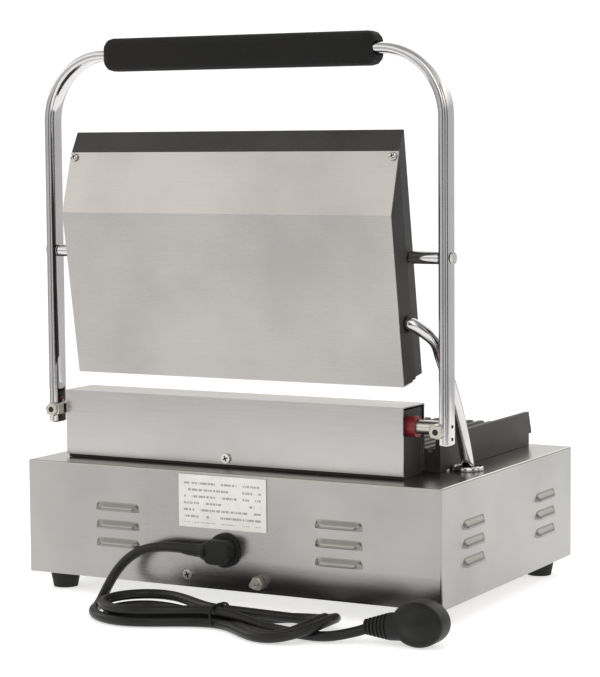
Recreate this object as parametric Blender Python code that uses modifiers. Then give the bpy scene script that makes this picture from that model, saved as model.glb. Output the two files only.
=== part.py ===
"""Panini press (single contact grill), modelled open, in metres, +Z up.

The origin is under the middle of the base, on the surface the feet stand on.
The front with its controls faces -Y. The handle carries the upper plate and turns
about the hinge shaft inside the box on the rear of the base.
"""
import math

import bmesh
import bpy
from mathutils import Matrix, Vector

GAP = 0.0003                      # running gap between neighbouring pieces

# Base
BASE_WIDTH = 0.410
BASE_DEPTH = 0.2866
BASE_BOTTOM = 0.0160
BASE_TOP = 0.1177
SHEET = 0.0012
FOOT_X, FOOT_Y = 0.183, 0.119
FOOT_TOP_RADIUS, FOOT_BOTTOM_RADIUS = 0.0140, 0.0110

# Louvres, three in a group
LOUVRE_ROWS = (0.0505, 0.0665, 0.0825)
LOUVRE_BACK_X = 0.110
LOUVRE_SIDE_Y = 0.079
LOUVRE_LENGTH = 0.038
LOUVRE_HEIGHT = 0.0040

# Lower griddle
GRIDDLE_HALF_WIDTH = 0.1665
GRIDDLE_REAR, GRIDDLE_FRONT = 0.0625, -0.1335
GRIDDLE_TOP = 0.1385                 # tops of the ribs, which lie between two raised side rims
GRIDDLE_RIM_TOP, GRIDDLE_RIM_WIDTH = 0.149, 0.0050
GRIDDLE_NOSE_OUT = 0.0065           # drain nose along the front
GRIDDLE_NOSE_Z = (0.1285, 0.1305)
GRIDDLE_POCKET_TOP = 0.1318
RIB_PITCH = 0.0110
RIB_HEIGHT = 0.0025

# Handle: a flat oval tube bent to a U
HINGE_Y, HINGE_Z = 0.100, 0.162
ARM_X, ARM_Y = 0.1946, 0.110
ARM_BOTTOM, HANDLE_TOP = 0.149, 0.4787
BEND_RADIUS = 0.058
OVAL_THIN, OVAL_WIDE = 0.010, 0.020
GRIP_HALF_LENGTH, GRIP_SIZE = 0.1335, 0.0290
SHAFT_RADIUS = 0.0060
SHAFT_HALF_LENGTH = 0.1842

# Upper head, in its own axes: the origin is its pivot and +Z is up when it is closed
PIVOT_Z = 0.305
HEAD_LEAN = math.radians(99.2)
HEAD_HALF_WIDTH = 0.1615
HEAD_REAR = 0.1028
COVER_TOP, COVER_FOLD_Y = 0.0303, -0.0411
COVER_FRONT_Y, COVER_FRONT_Z = -0.0905, 0.0066
COVER_SHEET = 0.0010
HOUSING_SHEET = 0.0015
HOUSING_BOTTOM = 0.0066
PLATE_TOP, PLATE_FACE = 0.0063, -0.0070
PLATE_NOSE_Y, PLATE_NOSE_Z = -0.1062, -0.0061
SLOPE = (COVER_TOP - COVER_FRONT_Z) / (COVER_FOLD_Y - COVER_FRONT_Y)

# Wiring conduit from the head's side to the base
CONDUIT_X = -0.1802
CONDUIT_RADIUS = 0.0055
CONDUIT_PIVOT = (0.116, 0.2495)
CONDUIT_FOOT = (0.034, BASE_TOP)
CONDUIT_BOW = -0.009
CONDUIT_REACH = 1.08

# Rear box with the hinge and the counterbalance springs
BOX_X = (-0.156, 0.183)
BOX_Y = (0.0715, 0.1137)
BOX_Z = (0.1207, 0.1790)

# Mains lead
CORD_RADIUS = 0.00425
GLAND_Z = 0.0510
GLAND_OUT = 0.0180
KNOB_OUT = GLAND_OUT              # the front stands out as far as the rear
LEAD_ROUTE = (
    (0.0148, 0.1555, 0.0510), (0.0300, 0.1555, 0.0516), (0.0470, 0.1560, 0.0525),
    (0.0640, 0.1570, 0.0518), (0.0790, 0.1585, 0.0475), (0.0910, 0.1605, 0.0395),
    (0.0990, 0.1640, 0.0290), (0.1030, 0.1695, 0.0185), (0.1035, 0.1770, 0.0100),
    (0.1010, 0.1860, 0.0058), (0.0965, 0.1940, 0.0046),
)
TAIL_ROUTE = (
    (-0.1298, 0.2240, 0.0046), (-0.1400, 0.2230, 0.0050), (-0.1490, 0.2190, 0.0062),
    (-0.1580, 0.2130, 0.0082), (-0.1660, 0.2060, 0.0100),
)
HANK_CENTRE = (-0.0180, 0.2080)
HANK_HALF_LENGTH, HANK_HALF_DEPTH, HANK_HEIGHT = 0.1130, 0.0400, 0.0180
PLUG_CENTRE = (-0.2130, 0.2000, 0.0225)
PLUG_RADIUS, PLUG_THICKNESS = 0.0225, 0.0240


def clear_scene():
    for item in list(bpy.data.objects):
        bpy.data.objects.remove(item, do_unlink=True)


clear_scene()
PARTS = bpy.data.collections.new("panini_press")
CUTTERS = bpy.data.collections.new("cutters")
bpy.context.scene.collection.children.link(PARTS)
bpy.context.scene.collection.children.link(CUTTERS)


def make_material(name, colour, roughness, metallic):
    material = bpy.data.materials.new(name)
    material.use_nodes = True
    shader = material.node_tree.nodes["Principled BSDF"]
    shader.inputs["Base Color"].default_value = (*colour, 1.0)
    shader.inputs["Roughness"].default_value = roughness
    shader.inputs["Metallic"].default_value = metallic
    return material


STEEL = ("brushed_steel", (0.56, 0.55, 0.53), 0.34, 1.0)
CHROME = ("chrome", (0.78, 0.78, 0.78), 0.08, 1.0)
ZINC = ("zinc", (0.66, 0.63, 0.55), 0.38, 1.0)
IRON = ("cast_iron", (0.035, 0.033, 0.032), 0.55, 0.3)
ENAMEL = ("black_enamel", (0.030, 0.029, 0.028), 0.42, 0.0)
PLASTIC = ("black_plastic", (0.020, 0.020, 0.020), 0.50, 0.0)
RUBBER = ("black_rubber", (0.018, 0.018, 0.018), 0.75, 0.0)
PVC = ("cord_pvc", (0.012, 0.012, 0.013), 0.38, 0.0)
CRIMSON = ("crimson_bush", (0.16, 0.012, 0.015), 0.45, 0.0)
LABEL = ("label_foil", (0.62, 0.61, 0.59), 0.40, 0.4)
AMBER = ("amber_lens", (0.75, 0.28, 0.02), 0.20, 0.0)
GREEN = ("green_lens", (0.04, 0.45, 0.08), 0.20, 0.0)
CERAMIC = ("ceramic", (0.78, 0.75, 0.68), 0.60, 0.0)
FIBRE = ("insulation_fibre", (0.72, 0.69, 0.60), 0.95, 0.0)
ELEMENT = ("heater_sheath", (0.22, 0.20, 0.18), 0.50, 1.0)


def finish(item, finish_values, parent=None):
    """Puts an object in the parts collection with a material of its own."""
    name, colour, roughness, metallic = finish_values
    item.data.materials.clear()
    item.data.materials.append(make_material(f"{item.name}_{name}", colour, roughness, metallic))
    if parent is not None:
        item.parent = parent
    return item


def object_from_bmesh(name, shape, collection=PARTS):
    mesh = bpy.data.meshes.new(name)
    bmesh.ops.recalc_face_normals(shape, faces=shape.faces)
    shape.to_mesh(mesh)
    shape.free()
    item = bpy.data.objects.new(name, mesh)
    collection.objects.link(item)
    return item


def add_box(shape, low, high):
    low, high = Vector(low), Vector(high)
    place = Matrix.Translation((low + high) / 2) @ Matrix.Diagonal((*(high - low), 1.0))
    return bmesh.ops.create_cube(shape, size=1.0, matrix=place)["verts"]


def axis_turn(axis):
    """The turn that takes +Z to the named axis."""
    turns = {"X": Matrix.Rotation(math.pi / 2, 4, "Y"), "Y": Matrix.Rotation(-math.pi / 2, 4, "X")}
    return turns.get(axis, Matrix.Identity(4))


def add_round(shape, centre, axis, radius, length, segments=32, end_radius=None):
    far = radius if end_radius is None else end_radius
    place = Matrix.Translation(Vector(centre)) @ axis_turn(axis)
    bmesh.ops.create_cone(shape, cap_ends=True, segments=segments, radius1=radius,
                          radius2=far, depth=length, matrix=place)


def bevel(item, width, segments=2, angle=40.0):
    modifier = item.modifiers.new("edges", "BEVEL")
    modifier.width = width
    modifier.segments = segments
    modifier.limit_method = "ANGLE"
    modifier.angle_limit = math.radians(angle)
    return item


def make_box(name, low, high, look, parent=None, edge=0.0):
    shape = bmesh.new()
    add_box(shape, low, high)
    item = object_from_bmesh(name, shape)
    if edge:
        bevel(item, edge)
    return finish(item, look, parent)


def make_round(name, centre, axis, radius, length, look, parent=None, **options):
    shape = bmesh.new()
    edge = options.pop("edge", 0.0)
    add_round(shape, centre, axis, radius, length, **options)
    item = object_from_bmesh(name, shape)
    if edge:
        bevel(item, edge)
    item.data.shade_smooth()
    item.data.set_sharp_from_angle(angle=math.radians(40))
    return finish(item, look, parent)


def make_turned(name, profile, centre, axis, look, parent=None, steps=24):
    """A closed profile of (radius, height) points, outer side top to bottom, turned on an axis."""
    shape = bmesh.new()
    verts = [shape.verts.new((radius, 0.0, height)) for radius, height in profile]
    for first, second in zip(verts, verts[1:] + verts[:1]):
        shape.edges.new((first, second))
    mesh = bpy.data.meshes.new(name)
    shape.to_mesh(mesh)
    shape.free()
    item = bpy.data.objects.new(name, mesh)
    PARTS.objects.link(item)
    item.matrix_world = Matrix.Translation(Vector(centre)) @ axis_turn(axis)
    screw = item.modifiers.new("turn", "SCREW")
    screw.steps = steps
    screw.render_steps = steps
    screw.use_merge_vertices = True
    screw.merge_threshold = 0.00001
    return finish(item, look, parent)


def make_cutter(name, boxes=(), rounds=(), parent=None):
    """One wire object holding every box and round hole of a cut."""
    shape = bmesh.new()
    for low, high in boxes:
        add_box(shape, low, high)
    for centre, axis, radius, length in rounds:
        add_round(shape, centre, axis, radius, length)
    item = object_from_bmesh(name, shape, CUTTERS)
    return hide_cutter(item, parent)


def hide_cutter(item, parent=None):
    item.hide_render = True
    item.display_type = "WIRE"
    item.parent = parent
    return item


def combine(item, other, operation):
    modifier = item.modifiers.new(operation.lower(), "BOOLEAN")
    modifier.operation = operation
    modifier.solver = "EXACT"
    modifier.object = other
    return item


def cut(item, cutter):
    return combine(item, cutter, "DIFFERENCE")


def curve_to_mesh(item, collection):
    """Replaces a curve object with a welded mesh at the same place."""
    name, place = item.name, item.matrix_world.copy()
    depsgraph = bpy.context.evaluated_depsgraph_get()
    mesh = bpy.data.meshes.new_from_object(item.evaluated_get(depsgraph))
    shape = bmesh.new()
    shape.from_mesh(mesh)
    bmesh.ops.remove_doubles(shape, verts=shape.verts, dist=0.000001)
    bmesh.ops.dissolve_limit(shape, angle_limit=math.radians(0.2), verts=shape.verts, edges=shape.edges)
    bmesh.ops.recalc_face_normals(shape, faces=shape.faces)
    shape.to_mesh(mesh)
    shape.free()
    bpy.data.objects.remove(item, do_unlink=True)
    solid = bpy.data.objects.new(name, mesh)
    solid.matrix_world = place
    collection.objects.link(solid)
    return solid


PLANES = {
    "XY": Matrix.Identity(4),
    "XZ": Matrix(((1, 0, 0, 0), (0, 0, -1, 0), (0, 1, 0, 0), (0, 0, 0, 1))),
    "YZ": Matrix(((0, 0, 1, 0), (1, 0, 0, 0), (0, 1, 0, 0), (0, 0, 0, 1))),
}


def make_outline(name, points, plane, middle, thickness, collection=PARTS):
    """A flat outline in a plane, thickened evenly either side of its middle."""
    curve = bpy.data.curves.new(name, "CURVE")
    curve.dimensions = "2D"
    curve.fill_mode = "BOTH"
    curve.extrude = thickness / 2
    spline = curve.splines.new("POLY")
    spline.points.add(len(points) - 1)
    for point, (across, up) in zip(spline.points, points):
        point.co = (across, up, 0.0, 1.0)
    spline.use_cyclic_u = True
    item = bpy.data.objects.new(name, curve)
    collection.objects.link(item)
    shift = {"XY": (0, 0, middle), "XZ": (0, middle, 0), "YZ": (middle, 0, 0)}[plane]
    item.matrix_world = Matrix.Translation(shift) @ PLANES[plane]
    bpy.context.view_layer.update()
    return curve_to_mesh(item, collection)


def make_tube(name, points, radius, look, parent=None, resolution=2):
    curve = bpy.data.curves.new(name, "CURVE")
    curve.dimensions = "3D"
    curve.bevel_depth = radius
    curve.bevel_resolution = resolution
    curve.use_fill_caps = True
    spline = curve.splines.new("POLY")
    spline.points.add(len(points) - 1)
    for point, place in zip(spline.points, points):
        point.co = (*place, 1.0)
    item = bpy.data.objects.new(name, curve)
    PARTS.objects.link(item)
    return finish(item, look, parent)


def smooth_route(route, spacing):
    """Points at an even spacing on the Catmull-Rom curve through a route."""
    knots = [Vector(point) for point in route]
    knots = [2 * knots[0] - knots[1]] + knots + [2 * knots[-1] - knots[-2]]
    fine = []
    for index in range(1, len(knots) - 2):
        before, start, end, after = knots[index - 1:index + 3]
        for step in range(12):
            t = step / 12
            fine.append(0.5 * (2 * start + (end - before) * t
                               + (2 * before - 5 * start + 4 * end - after) * t ** 2
                               + (3 * start - before - 3 * end + after) * t ** 3))
    fine.append(knots[-2])
    lengths = [0.0]
    for first, second in zip(fine, fine[1:]):
        lengths.append(lengths[-1] + (second - first).length)
    count = max(2, round(lengths[-1] / spacing))
    spaced, segment = [], 0
    for index in range(count + 1):
        target = lengths[-1] * index / count
        while segment < len(fine) - 2 and lengths[segment + 1] < target:
            segment += 1
        part = (target - lengths[segment]) / (lengths[segment + 1] - lengths[segment])
        spaced.append(fine[segment].lerp(fine[segment + 1], part))
    return spaced


def oval_points(half_length, half_depth, centre=(0.0, 0.0), turns=12):
    """A stadium outline: two straight sides and two round ends."""
    points = []
    straight = half_length - half_depth
    for side in (1, -1):
        for step in range(turns + 1):
            angle = -math.pi / 2 + math.pi * step / turns
            points.append((centre[0] + side * (straight + half_depth * math.cos(angle)),
                           centre[1] + side * half_depth * math.sin(angle)))
    return points


def ribbed_profile(half_width, face, back, rim=None, rib_height=RIB_HEIGHT):
    """A plate's cross-section with trapezoid ribs on its face, between side rims if rim gives their top."""
    sense = 1 if face > back else -1
    count = int((2 * half_width - 0.012) // RIB_PITCH)
    start = -count * RIB_PITCH / 2
    points = [(-half_width, back), (-half_width, face), (start, face)]
    if rim:
        inner = half_width - GRIDDLE_RIM_WIDTH
        points = [(-half_width, back), (-half_width, rim), (-inner - 0.0010, rim), (-inner, face),
                  (start, face)]

    def valley_level(x):
        """The valleys deepen towards the plate's sides, so that fat runs off."""
        return face - sense * (rib_height + 0.0006 * abs(x) / half_width)

    for rib in range(count):
        left = start + rib * RIB_PITCH
        points.append((left + 0.0015, valley_level(left + 0.0015)))
        points.append((left + 0.0045, valley_level(left + 0.0045)))
        points.append((left + 0.0060, face))
        if rib < count - 1:
            points.append((left + RIB_PITCH, face))
    if rim:
        points += [(inner, face), (inner + 0.0010, rim), (half_width, rim), (half_width, back)]
    else:
        points += [(half_width, face), (half_width, back)]
    return points


def hex_points(across_flats):
    radius = across_flats / math.sqrt(3)
    return [(radius * math.cos(math.pi * k / 3), radius * math.sin(math.pi * k / 3)) for k in range(6)]


# ---------------------------------------------------------------- base

def louvre_boxes():
    """Slots through the rear and side walls."""
    boxes = []
    half = LOUVRE_LENGTH / 2
    wall_y, wall_x = BASE_DEPTH / 2, BASE_WIDTH / 2
    for row in LOUVRE_ROWS:
        low_z, high_z = row - LOUVRE_HEIGHT, row
        for side in (-1, 1):
            x = side * LOUVRE_BACK_X
            boxes.append(((x - half, wall_y - 0.004, low_z), (x + half, wall_y + 0.004, high_z)))
            for y in (-LOUVRE_SIDE_Y, LOUVRE_SIDE_Y):
                low = (side * wall_x - 0.004, y - half, low_z)
                boxes.append((low, (side * wall_x + 0.004, y + half, high_z)))
    return boxes


TRAY_HALF_WIDTH, TRAY_Z = 0.070, (0.0270, 0.0520)
KNOB_X, CONTROL_Z = 0.150, 0.068
LAMP_X, LAMP_Z = 0.108, (0.057, 0.079)
SWITCH_X = -0.150


def build_base_shell():
    shape = bmesh.new()
    half_x, half_y = BASE_WIDTH / 2, BASE_DEPTH / 2
    add_box(shape, (-half_x, -half_y, BASE_BOTTOM), (half_x, half_y, BASE_TOP))
    under = [face for face in shape.faces if face.calc_center_median().z < BASE_BOTTOM + 0.001]
    bmesh.ops.delete(shape, geom=under, context="FACES_ONLY")
    shell = object_from_bmesh("base_shell", shape)
    bevel(shell, 0.0014)
    skin = shell.modifiers.new("sheet", "SOLIDIFY")
    skin.thickness = SHEET
    skin.offset = -1.0
    skin.use_even_offset = True
    front, rear = -half_y, half_y
    boxes = louvre_boxes()
    boxes.append(((-0.150, -0.115, BASE_TOP - 0.004), (0.150, 0.045, BASE_TOP + 0.004)))
    boxes.append(((-TRAY_HALF_WIDTH - 0.0005, front - 0.004, TRAY_Z[0] - 0.0005),
                  (TRAY_HALF_WIDTH + 0.0005, front + 0.004, TRAY_Z[1] + 0.0005)))
    boxes.append(((SWITCH_X - 0.0108, front - 0.004, CONTROL_Z - 0.0148),
                  (SWITCH_X + 0.0108, front + 0.004, CONTROL_Z + 0.0148)))
    slot_y = CONDUIT_FOOT[0] + 0.0017
    boxes.append(((CONDUIT_X - 0.0064, slot_y - 0.0108, BASE_TOP - 0.004),
                  (CONDUIT_X + 0.0064, slot_y + 0.0118, BASE_TOP + 0.004)))
    rounds = [((KNOB_X, front, CONTROL_Z), "Y", 0.0050, 0.008),
              ((0.0, rear, GLAND_Z), "Y", 0.0090, 0.008),
              ((-0.0334, rear, 0.0255), "Y", 0.0030, 0.008)]
    rounds += [((LAMP_X, front, z), "Y", 0.0058, 0.008) for z in LAMP_Z]
    cut(shell, make_cutter("base_shell_openings", boxes, rounds))
    finish(shell, STEEL)


def build_bottom_cover():
    inset = SHEET + GAP
    half_x, half_y = BASE_WIDTH / 2 - inset, BASE_DEPTH / 2 - inset
    make_box("bottom_cover", (-half_x, -half_y, BASE_BOTTOM), (half_x, half_y, BASE_BOTTOM + 0.0010), STEEL)


def build_feet():
    height = BASE_BOTTOM - GAP
    places = [(FOOT_X, FOOT_Y), (-FOOT_X, FOOT_Y), (FOOT_X, -FOOT_Y), (-FOOT_X, -FOOT_Y)]
    names = ("rear_left", "rear_right", "front_left", "front_right")
    for name, (x, y) in zip(names, places):
        make_round(f"foot_{name}", (x, y, height / 2), "Z", FOOT_BOTTOM_RADIUS, height, RUBBER,
                   end_radius=FOOT_TOP_RADIUS, segments=28)


def serpentine(width, rows, level, spacing=0.010):
    """A heater's path: straight runs along X joined by half circles."""
    points = []
    radius = abs(rows[1] - rows[0]) / 2
    for index, (row, following) in enumerate(zip(rows, list(rows[1:]) + [None])):
        side = 1 if index % 2 == 0 else -1
        steps = max(2, round(2 * width / 0.06))
        for step in range(steps + 1):
            points.append((side * (-width + 2 * width * step / steps), row, level))
        if following is None:
            continue
        middle = (row + following) / 2
        turn_steps = max(6, round(math.pi * radius / spacing))
        sense = math.copysign(1.0, following - row)
        for step in range(1, turn_steps):
            angle = -math.pi / 2 + math.pi * step / turn_steps
            points.append((side * (width + radius * math.cos(angle)),
                           middle + sense * radius * math.sin(angle), level))
    return points


def drain_nose(top):
    """The lower plate's sloping front lip, seen from its side, undercut below."""
    low, high = GRIDDLE_NOSE_Z
    tip = GRIDDLE_FRONT - GRIDDLE_NOSE_OUT
    inside = GRIDDLE_FRONT + 0.003
    return [(inside, low), (inside, top), (GRIDDLE_FRONT, top), (tip, high), (tip, low)]


def build_lower_plate():
    profile = ribbed_profile(GRIDDLE_HALF_WIDTH, GRIDDLE_TOP, BASE_TOP + GAP, GRIDDLE_RIM_TOP)
    length = GRIDDLE_REAR - GRIDDLE_FRONT
    griddle = make_outline("lower_griddle", profile, "XZ", (GRIDDLE_REAR + GRIDDLE_FRONT) / 2, length)
    pocket = ((-0.152, GRIDDLE_FRONT + 0.018, BASE_TOP - 0.002),
              (0.152, GRIDDLE_REAR - 0.016, GRIDDLE_POCKET_TOP))
    rim_middle = GRIDDLE_HALF_WIDTH - GRIDDLE_RIM_WIDTH / 2 + 0.0005
    rim_width = GRIDDLE_RIM_WIDTH - 0.0010
    noses = [("griddle_nose", 0.0, 2 * GRIDDLE_HALF_WIDTH - 0.0004, GRIDDLE_TOP - RIB_HEIGHT - 0.0010),
             ("griddle_nose_left", rim_middle, rim_width - 0.0004, GRIDDLE_RIM_TOP - 0.0004),
             ("griddle_nose_right", -rim_middle, rim_width - 0.0004, GRIDDLE_RIM_TOP - 0.0004)]
    for name, middle, width, top in noses:
        nose = make_outline(name, drain_nose(top), "YZ", middle, width, CUTTERS)
        combine(griddle, hide_cutter(nose), "UNION")
    cut(griddle, make_cutter("lower_griddle_pocket", [pocket]))
    finish(griddle, IRON)
    rows = (-0.092, -0.056, -0.020, 0.016)
    make_tube("lower_heater", serpentine(0.118, rows, 0.1275), 0.0036, ELEMENT)
    make_box("lower_heat_shield", (-0.160, -0.122, BASE_TOP - 0.0026), (0.160, 0.052, BASE_TOP - 0.0016), STEEL)


def build_controls():
    front = -BASE_DEPTH / 2
    inner = front + SHEET + GAP
    thermostat = make_round("thermostat", (KNOB_X, inner + 0.012, CONTROL_Z), "Y", 0.0170, 0.024, CERAMIC)
    shape = bmesh.new()
    add_round(shape, (KNOB_X, front - 0.0010, CONTROL_Z), "Y", 0.0030, 0.0200, segments=20)
    stem = hide_cutter(object_from_bmesh("thermostat_stem", shape, CUTTERS))
    combine(thermostat, stem, "UNION")
    frame = make_box("switch_frame", (SWITCH_X - 0.0125, front - 0.0023, CONTROL_Z - 0.0165),
                     (SWITCH_X + 0.0125, front - 0.0003, CONTROL_Z + 0.0165), PLASTIC)
    body = bmesh.new()
    add_box(body, (SWITCH_X - 0.0105, front - 0.0010, CONTROL_Z - 0.0145),
            (SWITCH_X + 0.0105, front + 0.0220, CONTROL_Z + 0.0145))
    combine(frame, hide_cutter(object_from_bmesh("switch_body", body, CUTTERS)), "UNION")
    well = ((SWITCH_X - 0.0088, front - 0.006, CONTROL_Z - 0.0128),
            (SWITCH_X + 0.0088, front + 0.0085, CONTROL_Z + 0.0128))
    cut(frame, make_cutter("switch_well", [well]))
    for name, z, look in zip(("lamp_power", "lamp_heat"), LAMP_Z, (GREEN, AMBER)):
        profile = [(0.0, 0.0135), (0.0054, 0.0135), (0.0054, 0.0003), (0.0075, 0.0003),
                   (0.0068, -0.0022), (0.0040, -0.0036), (0.0, -0.0040)]
        lamp = make_turned(name, [(r, h) for r, h in profile], (LAMP_X, front - GAP, z), "Y", look, steps=24)
        lamp.data.shade_smooth()


def build_knob_and_rocker():
    front = -BASE_DEPTH / 2
    knob = bmesh.new()
    add_round(knob, (0, -0.0080, 0), "Y", 0.0170, 0.0140, segments=32, end_radius=0.0195)
    item = object_from_bmesh("thermostat_knob", knob)
    bevel(item, 0.0015)
    grip = bmesh.new()
    add_box(grip, (-0.0035, -KNOB_OUT, -0.0150), (0.0035, -0.0130, 0.0150))
    bar = hide_cutter(object_from_bmesh("knob_bar", grip, CUTTERS))
    combine(item, bar, "UNION")
    bore = make_cutter("knob_bore", rounds=[((0, -0.0055, 0), "Y", 0.0034, 0.0130)])
    cut(item, bore)
    for piece in (item, bar, bore):
        piece.location = (KNOB_X, front, CONTROL_Z)
    finish(item, PLASTIC)
    points = [(-0.0055, -0.0105), (-0.0008, -0.0108), (0.0022, 0.0), (0.0050, 0.0108), (-0.0045, 0.0085)]
    section = [(-y, z) for y, z in points]
    rocker = make_outline("switch_rocker", section, "YZ", 0.0, 0.0166)
    rocker.data.transform(rocker.matrix_world)
    rocker.matrix_world = Matrix.Translation((SWITCH_X, front - 0.0002, CONTROL_Z))
    finish(rocker, CRIMSON)


def build_drip_tray():
    front = -BASE_DEPTH / 2
    shape = bmesh.new()
    add_box(shape, (-TRAY_HALF_WIDTH, front - 0.0012, TRAY_Z[0]), (TRAY_HALF_WIDTH, 0.020, TRAY_Z[1]))
    tray = object_from_bmesh("drip_tray", shape)
    pull = ((-0.030, front - 0.0180, TRAY_Z[1] - 0.004), (0.030, front - 0.0020, TRAY_Z[1] - 0.001))
    fascia = bmesh.new()
    add_box(fascia, (-TRAY_HALF_WIDTH - 0.006, front - 0.0028, TRAY_Z[0] - 0.005),
            (TRAY_HALF_WIDTH + 0.006, front - GAP, TRAY_Z[1] + 0.006))
    lip = bmesh.new()
    add_box(lip, *pull)
    combine(tray, hide_cutter(object_from_bmesh("tray_fascia", fascia, CUTTERS)), "UNION")
    combine(tray, hide_cutter(object_from_bmesh("tray_pull", lip, CUTTERS)), "UNION")
    hollow = ((-TRAY_HALF_WIDTH + 0.0012, front + 0.0012, TRAY_Z[0] + 0.0012),
              (TRAY_HALF_WIDTH - 0.0012, 0.0188, TRAY_Z[1] + 0.010))
    cut(tray, make_cutter("tray_hollow", [hollow]))
    finish(tray, STEEL)


def build_rear_fittings():
    rear = BASE_DEPTH / 2
    make_box("rating_plate", (-0.0410, rear + GAP, 0.0690), (0.0460, rear + GAP + 0.0005, 0.1150), LABEL)
    gland = make_round("cable_gland", (0.0, rear + GAP + 0.0020, GLAND_Z), "Y", 0.0150, 0.0040, PLASTIC)
    shape = bmesh.new()
    add_box(shape, (-0.0125, rear + 0.0020, GLAND_Z - 0.0110), (0.0130, rear + GLAND_OUT, GLAND_Z + 0.0110))
    elbow = hide_cutter(object_from_bmesh("gland_elbow", shape, CUTTERS))
    bevel(elbow, 0.0030, 2, 30)
    combine(gland, elbow, "UNION")
    neck = bmesh.new()
    add_round(neck, (0.0, rear - 0.0060, GLAND_Z), "Y", 0.0084, 0.0180, segments=32)
    combine(gland, hide_cutter(object_from_bmesh("gland_neck", neck, CUTTERS)), "UNION")
    nut = make_outline("gland_nut", hex_points(0.026), "XZ", rear - SHEET - GAP - 0.0025, 0.0050)
    bore = ((0.0, rear - 0.005, 0.0), "Y", 0.0088, 0.02)
    nut_bore = make_cutter("gland_nut_bore", rounds=[bore])
    cut(nut, nut_bore)
    for piece in (nut, nut_bore):
        piece.location.z += GLAND_Z
    finish(nut, PLASTIC)
    make_round("bonding_stud", (-0.0334, rear + 0.0020, 0.0255), "Y", 0.0026, 0.0240, ZINC, segments=20)
    nut = make_outline("bonding_nut", hex_points(0.0105), "XZ", rear + GAP + 0.0030, 0.0060)
    bore = make_cutter("bonding_nut_bore", rounds=[((0.0, rear + 0.003, 0.0), "Y", 0.0029, 0.02)])
    cut(nut, bore)
    for piece in (nut, bore):
        piece.location += Vector((-0.0334, 0.0, 0.0255))
    finish(nut, ZINC)
    make_round("base_screw_rear", (0.0376, rear + GAP + 0.0011, 0.0270), "Y", 0.0044, 0.0022, CHROME,
               segments=20)
    make_box("terminal_block", (0.030, 0.095, 0.0173), (0.086, 0.120, 0.0360), CERAMIC, edge=0.001)


# ---------------------------------------------------------------- rear box and hinge

def build_rear_box():
    low_y, high_y = BOX_Y
    low_z, high_z = BOX_Z
    t = 0.0010
    section = [(low_y, low_z), (low_y, high_z), (high_y, high_z), (high_y, low_z),
               (high_y - t, low_z), (high_y - t, high_z - t), (low_y + t, high_z - t), (low_y + t, low_z)]
    cover = make_outline("rear_box_cover", section, "YZ", sum(BOX_X) / 2, BOX_X[1] - BOX_X[0])
    finish(cover, STEEL)
    low_x, high_x = BOX_X[0] + 0.0015, BOX_X[1] - 0.0015
    floor, top, wall = BASE_TOP + GAP, high_z - 0.0030, 0.0030
    channel = [(low_x, floor), (high_x, floor), (high_x, top), (high_x - wall, top),
               (high_x - wall, floor + 0.0024), (low_x + wall, floor + 0.0024), (low_x + wall, top),
               (low_x, top)]
    frame = make_outline("rear_box_frame", channel, "XZ", (low_y + high_y) / 2, high_y - low_y - 0.0028)
    bores = [((x, HINGE_Y, HINGE_Z), "X", 0.0092, 0.012) for x in (low_x + 0.0015, high_x - 0.0015)]
    cut(frame, make_cutter("hinge_bush_seats", rounds=bores))
    finish(frame, ENAMEL)
    make_round("rear_box_screw", (0.0155, high_y + GAP + 0.0010, 0.1260), "Y", 0.0042, 0.0020, CHROME,
               segments=20)
    bush = [(0.0090, 0.0085), (0.0090, -0.0055), (0.0063, -0.0055), (0.0063, 0.0085)]
    make_turned("hinge_bush_right", bush, (low_x - 0.0035, HINGE_Y, HINGE_Z), "X", CRIMSON)
    bush = [(0.0090, 0.0025), (0.0090, -0.0085), (0.0063, -0.0085), (0.0063, 0.0025)]
    make_turned("hinge_bush_left", bush, (high_x - 0.0018, HINGE_Y, HINGE_Z), "X", CRIMSON)


def build_springs():
    """Torsion springs wound round the hinge shaft, which lift the handle."""
    coil_radius, wire, turns, pitch, sides = 0.0085, 0.0013, 6, 0.0040, 10
    for name, centre_x in (("left", 0.080), ("right", -0.080)):
        points = []
        for step in range(turns * sides + 1):
            angle = 2 * math.pi * step / sides
            x = centre_x + pitch * (step / sides - turns / 2)
            points.append((x, HINGE_Y + coil_radius * math.sin(angle), HINGE_Z - coil_radius * math.cos(angle)))
        make_tube(f"counter_spring_{name}", points, wire, ZINC, resolution=1)


def build_hinge_levers():
    make_round("hinge_shaft", (0, HINGE_Y, HINGE_Z), "X", SHAFT_RADIUS, 2 * SHAFT_HALF_LENGTH, ZINC,
               segments=32)
    inner_face = ARM_X - OVAL_THIN / 2 - GAP
    rear_face = ARM_Y + OVAL_WIDE / 2 + GAP
    for name, side in (("left", 1), ("right", -1)):
        low = SHAFT_HALF_LENGTH + GAP
        xs = sorted((side * low, side * inner_face))
        lever = make_box(f"hinge_lever_{name}", (xs[0], HINGE_Y - 0.008, HINGE_Z - 0.008),
                         (xs[1], rear_face + 0.0030, HINGE_Z + 0.008), ZINC)
        xs = sorted((side * low, side * (ARM_X + 0.0040)))
        flange = bmesh.new()
        add_box(flange, (xs[0], rear_face, HINGE_Z - 0.008), (xs[1], rear_face + 0.0030, HINGE_Z + 0.008))
        combine(lever, hide_cutter(object_from_bmesh(f"lever_flange_{name}", flange, CUTTERS)), "UNION")
        bolt = make_outline(f"lever_bolt_{name}", hex_points(0.0100), "XZ", rear_face + 0.0030 + GAP + 0.0022,
                            0.0044)
        bolt.location += Vector((side * (ARM_X - 0.0025), 0.0, HINGE_Z))
        finish(bolt, ZINC)


# ---------------------------------------------------------------- handle

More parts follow.
